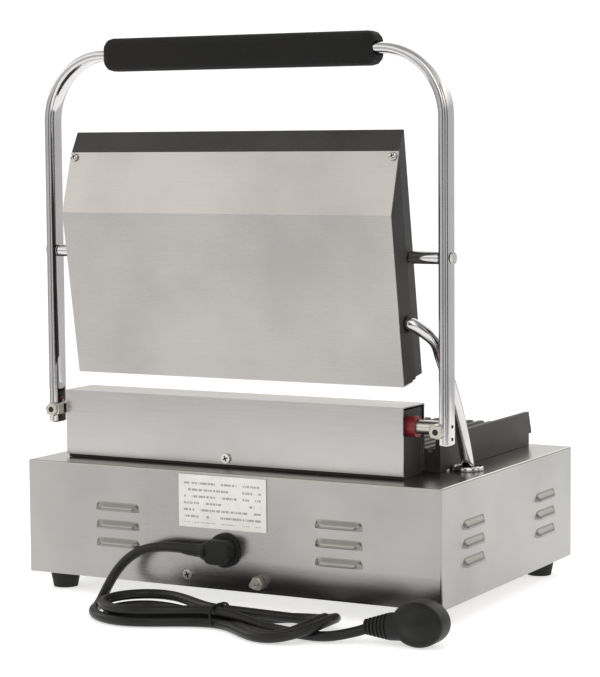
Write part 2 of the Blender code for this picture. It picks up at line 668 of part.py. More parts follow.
def handle_route():
    """The U in its own plane, from the foot of one arm over the top to the other."""
    points = [(ARM_X, ARM_BOTTOM), (ARM_X, 0.250), (ARM_X, 0.350)]
    for step in range(10):
        angle = math.pi / 2 * step / 9
        points.append((ARM_X - BEND_RADIUS + BEND_RADIUS * math.cos(angle),
                       HANDLE_TOP - BEND_RADIUS + BEND_RADIUS * math.sin(angle)))
    return points + [(-x, z) for x, z in reversed(points)]


def oval_section(name, thin, wide):
    """A closed 2D curve used as a sweep's cross-section."""
    section = bpy.data.curves.new(name, "CURVE")
    section.dimensions = "2D"
    outline = [(y, x) for x, y in oval_points(wide / 2, thin / 2, turns=6)]
    spline = section.splines.new("POLY")
    spline.points.add(len(outline) - 1)
    for point, (across, up) in zip(spline.points, outline):
        point.co = (across, up, 0.0, 1.0)
    spline.use_cyclic_u = True
    item = bpy.data.objects.new(name, section)
    CUTTERS.objects.link(item)
    return hide_cutter(item)


def build_handle():
    section = oval_section("handle_section", OVAL_THIN, OVAL_WIDE)
    curve = bpy.data.curves.new("handle_tube", "CURVE")
    curve.dimensions = "2D"
    curve.bevel_mode = "OBJECT"
    curve.bevel_object = section
    curve.use_fill_caps = True
    route = handle_route()
    spline = curve.splines.new("POLY")
    spline.points.add(len(route) - 1)
    for point, (across, up) in zip(spline.points, route):
        point.co = (across, up, 0.0, 1.0)
    item = bpy.data.objects.new("handle_tube", curve)
    PARTS.objects.link(item)
    item.matrix_world = Matrix.Translation((0, ARM_Y, 0)) @ PLANES["XZ"]
    bpy.context.view_layer.update()
    tube = curve_to_mesh(item, PARTS)
    bores = [((side * ARM_X, ARM_Y, PIVOT_Z), "X", 0.0030, 0.020) for side in (-1, 1)]
    cut(tube, make_cutter("handle_pivot_bores", rounds=bores))
    finish(tube, CHROME)

    half = GRIP_SIZE / 2
    corner = 0.0100
    outline = []
    for quarter in range(4):
        centre_y = (half - corner) * (1 if quarter in (0, 3) else -1)
        centre_z = (half - corner) * (1 if quarter in (0, 1) else -1)
        for step in range(6):
            angle = math.pi / 2 * (quarter + step / 5)
            outline.append((centre_y + corner * math.cos(angle), centre_z + corner * math.sin(angle)))
    grip = make_outline("handle_grip", outline, "YZ", 0.0, 2 * GRIP_HALF_LENGTH)
    bevel(grip, 0.0080, 3, 60)
    clearance = 2 * GAP
    bore = make_outline("grip_bore", oval_points(OVAL_WIDE / 2 + clearance, OVAL_THIN / 2 + clearance, turns=8),
                        "YZ", 0.0, 0.30, CUTTERS)
    hide_cutter(bore)
    for piece in (grip, bore):
        piece.location += Vector((0.0, ARM_Y, HANDLE_TOP))
    cut(grip, bore)
    finish(grip, PLASTIC)


def build_head_pivots():
    inner, outer = HEAD_HALF_WIDTH + GAP, ARM_X - OVAL_THIN / 2 - GAP
    spacer = [(0.0055, outer - inner), (0.0055, 0.0), (0.0030, 0.0), (0.0030, outer - inner)]
    for name, side in (("left", 1), ("right", -1)):
        start = inner if side > 0 else -outer
        item = make_turned(f"pivot_spacer_{name}", spacer, (start, ARM_Y, PIVOT_Z), "X", CHROME, steps=24)
        item.data.shade_smooth()
        head = ARM_X + OVAL_THIN / 2 + GAP
        screw = make_round(f"pivot_screw_{name}", (side * (head + 0.0010), ARM_Y, PIVOT_Z), "X", 0.0050,
                           0.0020, CHROME, segments=24)
        shank = bmesh.new()
        middle = (HEAD_HALF_WIDTH - 0.012 + head + 0.001) / 2
        length = head + 0.001 - (HEAD_HALF_WIDTH - 0.012)
        add_round(shank, (side * middle, ARM_Y, PIVOT_Z), "X", 0.0026, length, segments=20)
        combine(screw, hide_cutter(object_from_bmesh(f"pivot_shank_{name}", shank, CUTTERS)), "UNION")


# ---------------------------------------------------------------- upper head

def slope_z(y, depth):
    """Height of the surface lying a given depth under the cover's sloping front."""
    return COVER_TOP - (COVER_FOLD_Y - y) * SLOPE - depth * math.hypot(1.0, SLOPE)


def head_section(depth, rear, bottom):
    """The head's side view, a given depth inside the cover: rear, top, fold and front foot."""
    stretch = math.hypot(1.0, SLOPE)
    fold = COVER_FOLD_Y + depth * (stretch - 1.0) / SLOPE
    front = COVER_FOLD_Y - (COVER_TOP - depth * stretch - bottom) / SLOPE
    return [(rear, bottom), (rear, COVER_TOP - depth), (fold, COVER_TOP - depth), (front, bottom)]


def head_axis():
    """The empty on the head's pivot, turned to the open pose."""
    axis = bpy.data.objects.new("upper_head_axis", None)
    axis.location = (0.0, ARM_Y, PIVOT_Z)
    axis.rotation_euler = (-HEAD_LEAN, 0.0, 0.0)
    PARTS.objects.link(axis)
    return axis


def conduit_hole_local():
    """Where the conduit enters the head's side, in the head's own axes."""
    offset = Vector((0.0, CONDUIT_PIVOT[0] - ARM_Y, CONDUIT_PIVOT[1] - PIVOT_Z))
    turned = Matrix.Rotation(HEAD_LEAN, 3, "X") @ offset
    return turned.y, turned.z


def build_head(axis):
    width = 2 * HEAD_HALF_WIDTH
    outer_depth = COVER_SHEET + GAP
    housing = make_outline("upper_housing", head_section(outer_depth, HEAD_REAR, HOUSING_BOTTOM), "YZ", 0.0,
                           width)
    hollow = head_section(outer_depth + HOUSING_SHEET, HEAD_REAR - HOUSING_SHEET, PLATE_FACE)
    cavity = make_outline("upper_housing_cavity", hollow, "YZ", 0.0, width - 2 * HOUSING_SHEET, CUTTERS)
    hide_cutter(cavity, axis)
    cut(housing, cavity)
    hole_y, hole_z = conduit_hole_local()
    entry = ((-HEAD_HALF_WIDTH, hole_y, hole_z), "X", 0.0073, 0.010)
    cut(housing, make_cutter("conduit_entry", rounds=[entry], parent=axis))
    finish(housing, ENAMEL, axis)
    grommet = [(0.0070, 0.0026), (0.0070, -0.0012), (0.0062, -0.0012), (0.0062, 0.0026)]
    make_turned("conduit_grommet", grommet, (-HEAD_HALF_WIDTH, hole_y, hole_z), "X", RUBBER, axis)

    t = COVER_SHEET
    outer = head_section(0.0, HEAD_REAR + t + GAP, COVER_FRONT_Z)
    inner = head_section(t, HEAD_REAR + GAP, COVER_FRONT_Z)
    flange_foot = 0.0120
    section = [(outer[0][0], flange_foot), outer[1], outer[2], outer[3], inner[3], inner[2], inner[1],
               (inner[0][0], flange_foot)]
    cover = make_outline("upper_cover", section, "YZ", 0.0, width)
    finish(cover, STEEL, axis)
    normal = Vector((0.0, -SLOPE, 1.0)).normalized()
    for name, side in (("left", 1), ("right", -1)):
        screw_y = COVER_FRONT_Y + 0.0040
        centre = Vector((side * 0.1567, screw_y, slope_z(screw_y, 0.0))) + normal * (0.0008 + GAP)
        shape = bmesh.new()
        tilt = Matrix.Rotation(math.atan(SLOPE), 4, "X")
        bmesh.ops.create_cone(shape, cap_ends=True, segments=24, radius1=0.0036, radius2=0.0030,
                              depth=0.0016, matrix=Matrix.Translation(centre) @ tilt)
        finish(object_from_bmesh(f"cover_screw_{name}", shape), CHROME, axis)


def build_upper_plate(axis):
    half_width = HEAD_HALF_WIDTH - 0.0005
    rear = HEAD_REAR - 0.0013
    profile = ribbed_profile(half_width, PLATE_FACE, PLATE_TOP)
    length = rear - PLATE_NOSE_Y
    griddle = make_outline("upper_griddle", profile, "XZ", (rear + PLATE_NOSE_Y) / 2, length)
    border = bmesh.new()
    add_box(border, (-half_width, PLATE_NOSE_Y, PLATE_FACE), (half_width, PLATE_NOSE_Y + 0.014, PLATE_TOP))
    combine(griddle, hide_cutter(object_from_bmesh("upper_griddle_border", border, CUTTERS), axis), "UNION")
    nose_rise = (PLATE_TOP - PLATE_NOSE_Z) / (COVER_FRONT_Y - PLATE_NOSE_Y)
    low_y, high_y = PLATE_NOSE_Y - 0.004, COVER_FRONT_Y + 0.004
    low_z = PLATE_NOSE_Z - 0.004 * nose_rise
    high_z = PLATE_TOP + 0.004 * nose_rise
    nose = [(low_y, low_z), (high_y, high_z), (low_y, high_z)]
    wedge = make_outline("upper_griddle_nose", nose, "YZ", 0.0, 0.40, CUTTERS)
    hide_cutter(wedge, axis)
    cut(griddle, wedge)
    bores = [((side * (HEAD_HALF_WIDTH - 0.006), 0.0, 0.0), "X", 0.0030, 0.016) for side in (-1, 1)]
    cut(griddle, make_cutter("upper_griddle_bores", rounds=bores, parent=axis))
    finish(griddle, IRON, axis)
    rows = (-0.052, -0.016, 0.020, 0.056)
    make_tube("upper_heater", serpentine(0.112, rows, PLATE_TOP + 0.0046), 0.0036, ELEMENT, axis)
    level = PLATE_TOP + 0.0092
    make_box("upper_heat_shield", (-0.150, -0.045, level), (0.150, 0.095, level + 0.0010), STEEL, axis)
    make_box("insulation_pad", (-0.148, -0.036, level + 0.0013), (0.148, 0.094, level + 0.0095), FIBRE, axis)


# ---------------------------------------------------------------- wiring conduit

def build_conduit():
    start, foot = Vector(CONDUIT_PIVOT), Vector(CONDUIT_FOOT)
    along = foot - start
    side = Vector((-along.y, along.x)).normalized()
    knots = [(-HEAD_HALF_WIDTH + offset, *start) for offset in (0.0070, 0.0010, -0.0050)]
    steps = 9
    for step in range(1, steps + 1):
        t = CONDUIT_REACH * step / steps
        place = start + along * t + side * (4 * CONDUIT_BOW * t * (1 - t))
        knots.append((CONDUIT_X, place.x, place.y))
    make_tube("conduit_tube", smooth_route(knots, 0.008), CONDUIT_RADIUS, CHROME, resolution=3)
    shape_profile = [(0.0128, 0.0014), (0.0128, 0.0), (0.0, 0.0), (0.0, 0.0032), (0.0095, 0.0032)]
    foot_y = CONDUIT_FOOT[0] + 0.0022
    rosette = make_turned("conduit_rosette", shape_profile, (CONDUIT_X, foot_y, BASE_TOP + GAP), "Z", CHROME,
                          steps=32)
    slot_y = CONDUIT_FOOT[0] + 0.0017
    slot = oval_points(0.0111, 0.0062, turns=10)
    cutter = make_outline("rosette_slot", [(y, x) for x, y in slot], "XY", BASE_TOP, 0.020, CUTTERS)
    cutter.location += Vector((CONDUIT_X, slot_y + 0.0005, 0.0))
    hide_cutter(cutter)
    cut(rosette, cutter)


# ---------------------------------------------------------------- mains lead

def build_cord():
    make_tube("cord_lead", smooth_route(LEAD_ROUTE, 0.010), CORD_RADIUS, PVC)
    outline = oval_points(HANK_HALF_LENGTH, HANK_HALF_DEPTH, HANK_CENTRE, turns=14)
    hank = make_outline("cord_hank", outline, "XY", HANK_HEIGHT / 2 + 0.0002, HANK_HEIGHT)
    finish(hank, PVC)
    make_tube("cord_tail", smooth_route(TAIL_ROUTE, 0.010), CORD_RADIUS, PVC)


def build_plug():
    x, y, z = PLUG_CENTRE
    plug = make_round("plug", PLUG_CENTRE, "Y", PLUG_RADIUS, PLUG_THICKNESS, PLASTIC, segments=40, edge=0.003)
    relief = bmesh.new()
    place = Matrix.Translation((x + 0.0320, y + 0.0020, 0.0125)) @ axis_turn("X")
    bmesh.ops.create_cone(relief, cap_ends=True, segments=24, radius1=0.0105, radius2=0.0062, depth=0.0270,
                          matrix=place)
    combine(plug, hide_cutter(object_from_bmesh("plug_relief", relief, CUTTERS)), "UNION")
    for index, offset in enumerate((-0.0095, 0.0095)):
        pin = bmesh.new()
        add_round(pin, (x + offset, y - PLUG_THICKNESS / 2 - 0.0085, z), "Y", 0.0024, 0.0210, segments=16)
        combine(plug, hide_cutter(object_from_bmesh(f"plug_pin_{index}", pin, CUTTERS)), "UNION")


build_base_shell()
build_bottom_cover()
build_feet()
build_lower_plate()
build_controls()
build_knob_and_rocker()
build_drip_tray()
build_rear_fittings()
build_rear_box()
build_springs()
build_hinge_levers()
build_handle()
build_head_pivots()
HEAD_AXIS = head_axis()
build_head(HEAD_AXIS)
build_upper_plate(HEAD_AXIS)
build_conduit()
build_cord()
build_plug()
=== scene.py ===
import math

import bmesh
import bpy
from mathutils import Matrix, Vector


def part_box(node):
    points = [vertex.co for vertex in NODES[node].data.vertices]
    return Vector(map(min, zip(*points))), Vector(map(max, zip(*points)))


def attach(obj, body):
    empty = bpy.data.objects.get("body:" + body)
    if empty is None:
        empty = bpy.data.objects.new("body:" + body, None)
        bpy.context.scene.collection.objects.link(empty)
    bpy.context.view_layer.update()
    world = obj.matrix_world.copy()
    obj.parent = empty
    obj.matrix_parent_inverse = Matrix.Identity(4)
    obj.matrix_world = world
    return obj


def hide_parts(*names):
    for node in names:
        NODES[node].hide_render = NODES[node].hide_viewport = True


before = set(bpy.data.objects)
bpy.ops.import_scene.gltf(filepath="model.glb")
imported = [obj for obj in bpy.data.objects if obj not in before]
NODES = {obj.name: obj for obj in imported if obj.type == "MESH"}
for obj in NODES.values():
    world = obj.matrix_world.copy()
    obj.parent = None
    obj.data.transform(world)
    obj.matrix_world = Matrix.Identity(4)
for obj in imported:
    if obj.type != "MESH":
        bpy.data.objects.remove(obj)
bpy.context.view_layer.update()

SCENE = bpy.context.scene

# ---------------------------------------------------------------- sizes shared with the CAD, in metres
BASE_HALF_X, BASE_REAR, BASE_TOP = 0.2050, 0.1433, 0.1177
LOUVRE_ROWS = (0.0505, 0.0665, 0.0825)
LOUVRE_BACK_X, LOUVRE_SIDE_Y = 0.110, 0.079
GLAND = (0.0, 0.1433, 0.0510)
FRONT_PANEL = (0.150, -0.1433, 0.068)   # the thermostat's centre on the panel
ARM_X, ARM_Y, ARM_BOTTOM, HANDLE_TOP, HANDLE_BEND = 0.1946, 0.1100, 0.1490, 0.4787, 0.0580
ARM_HALF_WIDE, ARM_HALF_THIN = 0.0100, 0.0050
PIVOT_X, PIVOT_Z = 0.1618, 0.3050
CONDUIT_X, CONDUIT_RADIUS, CONDUIT_BOW = -0.1802, 0.0055, -0.009
CONDUIT_START, CONDUIT_FOOT = (0.0, 0.1160, 0.2495), (0.0, 0.0340, 0.1177)
ROSETTE_TOP = (-0.1802, 0.0362, 0.1212)
COVER_SCREW, COVER_FACING = (0.1567, 0.1332, 0.38915), (0.0, 0.959, 0.282)
CORD_RADIUS = 0.00425
LEAD_ROUTE = (
    (0.0148, 0.1555, 0.0510), (0.0300, 0.1555, 0.0516), (0.0470, 0.1560, 0.0525),
    (0.0640, 0.1570, 0.0518), (0.0790, 0.1585, 0.0475), (0.0910, 0.1605, 0.0395),
    (0.0990, 0.1640, 0.0290), (0.1030, 0.1695, 0.0185), (0.1035, 0.1770, 0.0100),
    (0.1010, 0.1860, 0.0058), (0.0965, 0.1940, 0.0046),
)
TAIL_ROUTE = (
    (-0.1298, 0.2240, 0.0046), (-0.1400, 0.2230, 0.0050), (-0.1490, 0.2190, 0.0062),
    (-0.1580, 0.2130, 0.0082), (-0.1660, 0.2060, 0.0100), (-0.1690, 0.2035, 0.0118),
)
PLUG_CENTRE = (-0.2130, 0.2000, 0.0225)
PLUG_RADIUS, PLUG_THICKNESS = 0.0225, 0.0240
PLUG_SQUASH = 0.82                  # the moulded body is lower than it is wide
TIE_X, HANK_Y = -0.0310, 0.2080
RELIEF_AXIS = (1.0, 0.0, 0.024)     # the way that the cord leaves the gland's elbow
CORD_STEP, EASE_ROUNDS = 0.0032, 6
LEAD_EASE_ROUNDS, LEAD_EASE_POINTS = 26, 46

# ---------------------------------------------------------------- sizes of the pieces added here
FLOOR_HALF_SIZE, FLOOR_LEVEL = 1.25, -0.0004
LABEL_ROWS_PER_METRE = 172.0


# ---------------------------------------------------------------- node helpers
def new_material(name):
    material = bpy.data.materials.new(name)
    material.use_nodes = True
    return material, material.node_tree.nodes, material.node_tree.links


def add_node(nodes, kind, **settings):
    made = nodes.new(kind)
    for key, value in settings.items():
        setattr(made, key, value)
    return made


def object_coordinates(nodes, links, stretch=(1.0, 1.0, 1.0)):
    place = nodes.new("ShaderNodeTexCoord")
    mapping = nodes.new("ShaderNodeMapping")
    mapping.inputs["Scale"].default_value = stretch
    links.new(place.outputs["Object"], mapping.inputs["Vector"])
    return mapping.outputs["Vector"]


def noise(nodes, links, vector, scale, detail=4.0, roughness=0.55):
    made = nodes.new("ShaderNodeTexNoise")
    made.inputs["Scale"].default_value = scale
    made.inputs["Detail"].default_value = detail
    made.inputs["Roughness"].default_value = roughness
    links.new(vector, made.inputs["Vector"])
    return made.outputs["Fac"]


def ramp(nodes, links, value, stops):
    made = nodes.new("ShaderNodeValToRGB")
    while len(made.color_ramp.elements) < len(stops):
        made.color_ramp.elements.new(0.5)
    for element, (position, colour) in zip(made.color_ramp.elements, stops):
        element.position = position
        element.color = (*colour, 1.0)
    links.new(value, made.inputs["Fac"])
    return made.outputs["Color"]


def spread(nodes, links, value, low, high, from_low=0.3, from_high=0.7):
    made = nodes.new("ShaderNodeMapRange")
    for key, number in zip(("From Min", "From Max", "To Min", "To Max"), (from_low, from_high, low, high)):
        made.inputs[key].default_value = number
    links.new(value, made.inputs["Value"])
    return made.outputs["Result"]


def math_node(nodes, links, operation, first, second=None, clamp=False):
    made = add_node(nodes, "ShaderNodeMath", operation=operation, use_clamp=clamp)
    for socket, value in zip(made.inputs, (first, second)):
        if value is None:
            continue
        if isinstance(value, (int, float)):
            socket.default_value = value
        else:
            links.new(value, socket)
    return made.outputs[0]


def near(nodes, links, value, middle, reach):
    """1 where the value lies within reach of the middle, otherwise 0."""
    made = math_node(nodes, links, "COMPARE", value, middle)
    made.node.inputs[2].default_value = reach
    return made


def mix_colour(nodes, links, factor, first, second):
    made = add_node(nodes, "ShaderNodeMix", data_type="RGBA")
    for socket, value in ((made.inputs[0], factor), (made.inputs[6], first), (made.inputs[7], second)):
        if hasattr(value, "is_linked"):
            links.new(value, socket)
        elif isinstance(value, tuple):
            socket.default_value = (*value, 1.0)
        else:
            socket.default_value = value
    return made.outputs[2]


def bump(nodes, links, shader, height, distance, strength=1.0):
    made = nodes.new("ShaderNodeBump")
    made.inputs["Strength"].default_value = strength
    made.inputs["Distance"].default_value = distance
    links.new(height, made.inputs["Height"])
    links.new(made.outputs["Normal"], shader.inputs["Normal"])


def plain_shader(nodes, metallic=0.0, **sockets):
    shader = nodes["Principled BSDF"]
    shader.inputs["Metallic"].default_value = metallic
    for key, value in sockets.items():
        shader.inputs[key.replace("_", " ")].default_value = value
    return shader


# ---------------------------------------------------------------- materials
def grained(name, dark, light, rough, grain, height, metallic=0.0, stretch=(1.0, 1.0, 1.0)):
    """A painted, moulded or cast surface: mottled colour, uneven gloss and a fine grain."""
    material, nodes, links = new_material(name)
    shader = plain_shader(nodes, metallic)
    place = object_coordinates(nodes, links, stretch)
    cloud = noise(nodes, links, place, 14.0, 5.0, 0.6)
    links.new(ramp(nodes, links, cloud, ((0.32, dark), (0.70, light))), shader.inputs["Base Color"])
    fine = noise(nodes, links, place, grain, 5.0, 0.6)
    worn = math_node(nodes, links, "ADD", math_node(nodes, links, "MULTIPLY", cloud, 0.6),
                     math_node(nodes, links, "MULTIPLY", fine, 0.4))
    links.new(spread(nodes, links, worn, rough[0], rough[1]), shader.inputs["Roughness"])
    bump(nodes, links, shader, fine, height)
    return material


def brushed_steel(name, tint, rough=(0.19, 0.29), streak=2400.0):
    """Stainless sheet, brushed along its length on walls and along X on level faces."""
    material, nodes, links = new_material(name)
    shader = plain_shader(nodes, 1.0, Anisotropic=0.35)
    walls = object_coordinates(nodes, links, (16.0, 16.0, streak))
    level = object_coordinates(nodes, links, (16.0, streak, 16.0))
    split = nodes.new("ShaderNodeSeparateXYZ")
    facing = nodes.new("ShaderNodeTexCoord")
    links.new(facing.outputs["Normal"], split.inputs["Vector"])
    upward = math_node(nodes, links, "GREATER_THAN",
                       math_node(nodes, links, "ABSOLUTE", split.outputs["Z"]), 0.75)
    streaks = add_node(nodes, "ShaderNodeMix", data_type="FLOAT")
    links.new(upward, streaks.inputs[0])
    links.new(noise(nodes, links, walls, 1.0, 6.0, 0.7), streaks.inputs[2])
    links.new(noise(nodes, links, level, 1.0, 6.0, 0.7), streaks.inputs[3])
    grain = streaks.outputs[0]
    cloud = noise(nodes, links, object_coordinates(nodes, links), 7.0, 4.0, 0.5)
    dark = tuple(channel * 0.91 for channel in tint)
    light = tuple(min(channel * 1.06, 1.0) for channel in tint)
    base = ramp(nodes, links, grain, ((0.28, dark), (0.50, tint), (0.74, light)))
    dull = tuple(channel * 0.80 for channel in tint)
    smudge = spread(nodes, links, cloud, 0.0, 0.70, 0.42, 0.64)
    links.new(mix_colour(nodes, links, smudge, base, dull), shader.inputs["Base Color"])
    worn = math_node(nodes, links, "ADD", math_node(nodes, links, "MULTIPLY", grain, 0.5),
                     math_node(nodes, links, "MULTIPLY", cloud, 0.5))
    links.new(spread(nodes, links, worn, rough[0], rough[1], 0.35, 0.65), shader.inputs["Roughness"])
    bump(nodes, links, shader, grain, 0.00004, 0.30)
    return material


def shade_low_rear(material):
    """Paints a dark band low on the base's rear wall, towards -X, like a reflection of dark surroundings.

    It belongs to the surface and doesn't follow the light: leave it out to relight the part."""
    nodes, links = material.node_tree.nodes, material.node_tree.links
    shader = nodes["Principled BSDF"]
    split = nodes.new("ShaderNodeSeparateXYZ")
    links.new(object_coordinates(nodes, links), split.inputs["Vector"])
    ragged = noise(nodes, links, object_coordinates(nodes, links, (3.0, 3.0, 60.0)), 1.0, 3.0)
    height = math_node(nodes, links, "ADD", split.outputs["Z"],
                       math_node(nodes, links, "MULTIPLY", ragged, 0.010))
    low = spread(nodes, links, height, 1.0, 0.0, 0.032, 0.048)
    aside = spread(nodes, links, split.outputs["X"], 1.0, 0.0, -0.020, 0.060)
    rear = math_node(nodes, links, "GREATER_THAN", split.outputs["Y"], BASE_REAR - 0.0020)
    amount = math_node(nodes, links, "MULTIPLY", math_node(nodes, links, "MULTIPLY", low, aside),
                       math_node(nodes, links, "MULTIPLY", rear, 0.80))
    plain = shader.inputs["Base Color"].links[0].from_socket
    links.new(mix_colour(nodes, links, amount, plain, (0.06, 0.055, 0.054)), shader.inputs["Base Color"])


def polished(name, tint, rough, scratch=260.0, height=0.00001):
    """Plated or polished metal with faint drawn lines and fingerprints."""
    material, nodes, links = new_material(name)
    shader = plain_shader(nodes, 1.0)
    place = object_coordinates(nodes, links)
    cloud = noise(nodes, links, place, 22.0, 5.0, 0.6)
    fine = noise(nodes, links, place, scratch, 6.0, 0.65)
    dark = tuple(channel * 0.90 for channel in tint)
    links.new(ramp(nodes, links, cloud, ((0.35, dark), (0.65, tint))), shader.inputs["Base Color"])
    links.new(spread(nodes, links, cloud, rough[0], rough[1]), shader.inputs["Roughness"])
    bump(nodes, links, shader, fine, height)
    return material


def ribbed_iron():
    """Cast iron: pitted and dark, with a mottled tone and paler grey specks."""
    material, nodes, links = new_material("seasoned_iron")
    shader = plain_shader(nodes, 0.35)
    place = object_coordinates(nodes, links)
    pits = noise(nodes, links, place, 900.0, 6.0, 0.75)
    cloud = noise(nodes, links, place, 16.0, 5.0, 0.6)
    base = ramp(nodes, links, cloud, ((0.30, (0.026, 0.025, 0.024)), (0.70, (0.060, 0.057, 0.054))))
    speck = spread(nodes, links, pits, 0.0, 0.45, 0.45, 0.75)
    links.new(mix_colour(nodes, links, speck, base, (0.105, 0.100, 0.094)), shader.inputs["Base Color"])
    links.new(spread(nodes, links, cloud, 0.42, 0.66), shader.inputs["Roughness"])
    bump(nodes, links, shader, pits, 0.00035)
    return material


def foil_label():
    """Pale foil with rows of plain dashes. Nothing on it can be read."""
    material, nodes, links = new_material("foil_label")
    shader = plain_shader(nodes, 0.35)
    split = nodes.new("ShaderNodeSeparateXYZ")
    links.new(object_coordinates(nodes, links), split.inputs["Vector"])
    x, z = split.outputs["X"], split.outputs["Z"]
    counted = math_node(nodes, links, "MULTIPLY", z, LABEL_ROWS_PER_METRE)
    in_row = near(nodes, links, math_node(nodes, links, "FRACT", counted), 0.5, 0.16)
    row_number = math_node(nodes, links, "FLOOR", counted)
    join = nodes.new("ShaderNodeCombineXYZ")
    links.new(x, join.inputs["X"])
    links.new(math_node(nodes, links, "MULTIPLY", row_number, 3.7), join.inputs["Y"])
    strokes = noise(nodes, links, join.outputs["Vector"], 620.0, 1.0, 0.5)
    clusters = noise(nodes, links, join.outputs["Vector"], 95.0, 0.0, 0.5)
    dash = math_node(nodes, links, "MULTIPLY",
                     math_node(nodes, links, "GREATER_THAN", strokes, 0.47),
                     math_node(nodes, links, "GREATER_THAN", clusters, 0.44))
    ink = math_node(nodes, links, "MULTIPLY", dash, in_row)
    margin_x = near(nodes, links, x, 0.0025, 0.0385)
    margin_z = near(nodes, links, z, 0.0920, 0.0190)
    ink = math_node(nodes, links, "MULTIPLY", ink, math_node(nodes, links, "MULTIPLY", margin_x, margin_z))
    cloud = noise(nodes, links, object_coordinates(nodes, links), 45.0, 4.0, 0.6)
    foil = ramp(nodes, links, cloud, ((0.3, (0.76, 0.75, 0.72)), (0.7, (0.86, 0.85, 0.82))))
    faded = math_node(nodes, links, "MULTIPLY", ink, 0.66)
    links.new(mix_colour(nodes, links, faded, foil, (0.13, 0.13, 0.14)), shader.inputs["Base Color"])
    links.new(spread(nodes, links, cloud, 0.34, 0.46), shader.inputs["Roughness"])
    bump(nodes, links, shader, ink, 0.00003)
    return material


def lens(name, dark, light):
    """A moulded lamp lens with fine prisms inside."""
    material, nodes, links = new_material(name)
    shader = plain_shader(nodes, 0.0, Coat_Weight=0.6, Transmission_Weight=0.25)
    cells = nodes.new("ShaderNodeTexVoronoi")
    cells.inputs["Scale"].default_value = 900.0
    links.new(object_coordinates(nodes, links), cells.inputs["Vector"])
    links.new(ramp(nodes, links, cells.outputs["Distance"], ((0.1, light), (0.7, dark))),
              shader.inputs["Base Color"])
    links.new(spread(nodes, links, cells.outputs["Distance"], 0.12, 0.24), shader.inputs["Roughness"])
    bump(nodes, links, shader, cells.outputs["Distance"], 0.0001)
    return material


# These tints suit the bright studio below. They are darker than bare metal would measure.
STEEL_BASE = brushed_steel("steel_base", (0.405, 0.396, 0.386))
shade_low_rear(STEEL_BASE)
STEEL_BOX = brushed_steel("steel_rear_box", (0.512, 0.498, 0.492), streak=2100.0)
STEEL_COVER = brushed_steel("steel_cover", (0.436, 0.424, 0.414), (0.22, 0.32), streak=2200.0)
# Painted shade: the louvre hoods are the base's own steel, given a darker tint so that they read darker than
# the wall under this studio.
STEEL_HOOD_SHADED = brushed_steel("steel_louvre_shaded", (0.315, 0.308, 0.300), (0.20, 0.30))
CHROME = polished("chrome_plate", (0.655, 0.65, 0.66), (0.075, 0.125))
SCREW_STEEL = polished("screw_plate", (0.70, 0.69, 0.67), (0.16, 0.30), 900.0, 0.00003)
ZINC = polished("zinc_plate", (0.60, 0.58, 0.53), (0.22, 0.40), 700.0, 0.00004)
IRON = ribbed_iron()
ENAMEL = grained("satin_enamel", (0.017, 0.016, 0.015), (0.027, 0.025, 0.024), (0.36, 0.50),
                 520.0, 0.00008)
PLASTIC = grained("black_moulding", (0.008, 0.008, 0.008), (0.017, 0.017, 0.017), (0.36, 0.50),
                  1500.0, 0.00005)
FOAM = grained("grip_foam", (0.007, 0.007, 0.007), (0.014, 0.013, 0.013), (0.66, 0.84), 1300.0, 0.00022)
RUBBER = grained("foot_rubber", (0.010, 0.010, 0.010), (0.022, 0.022, 0.022), (0.62, 0.82), 1100.0, 0.00010)
PVC = grained("cord_sheath", (0.006, 0.006, 0.006), (0.013, 0.012, 0.012), (0.30, 0.42), 700.0, 0.00006)
CRIMSON = grained("crimson_bush", (0.16, 0.010, 0.014), (0.26, 0.020, 0.024), (0.32, 0.48), 900.0, 0.00005)
CERAMIC = grained("glazed_ceramic", (0.70, 0.67, 0.60), (0.82, 0.80, 0.74), (0.30, 0.50), 600.0, 0.00008)
FIBRE = grained("mineral_fibre", (0.58, 0.54, 0.44), (0.76, 0.73, 0.64), (0.88, 0.98), 420.0, 0.00060,
                stretch=(1.0, 0.35, 2.2))
SHEATH = grained("heater_sheath", (0.14, 0.125, 0.11), (0.26, 0.24, 0.21), (0.42, 0.62), 480.0, 0.00008, 1.0)
LABEL = foil_label()
# Specular levels under the usual 0.5, so that the black materials stay dark in the bright studio.
for dull, level in ((PVC, 0.32), (PLASTIC, 0.22), (ENAMEL, 0.24), (FOAM, 0.26), (RUBBER, 0.30)):
    dull.node_tree.nodes["Principled BSDF"].inputs["Specular IOR Level"].default_value = level
AMBER = lens("amber_lens", (0.42, 0.10, 0.01), (0.85, 0.34, 0.04))
GREEN = lens("green_lens", (0.01, 0.20, 0.03), (0.05, 0.52, 0.12))
MARKING = grained("white_marking", (0.62, 0.62, 0.60), (0.76, 0.76, 0.74), (0.45, 0.60), 900.0, 0.00003)

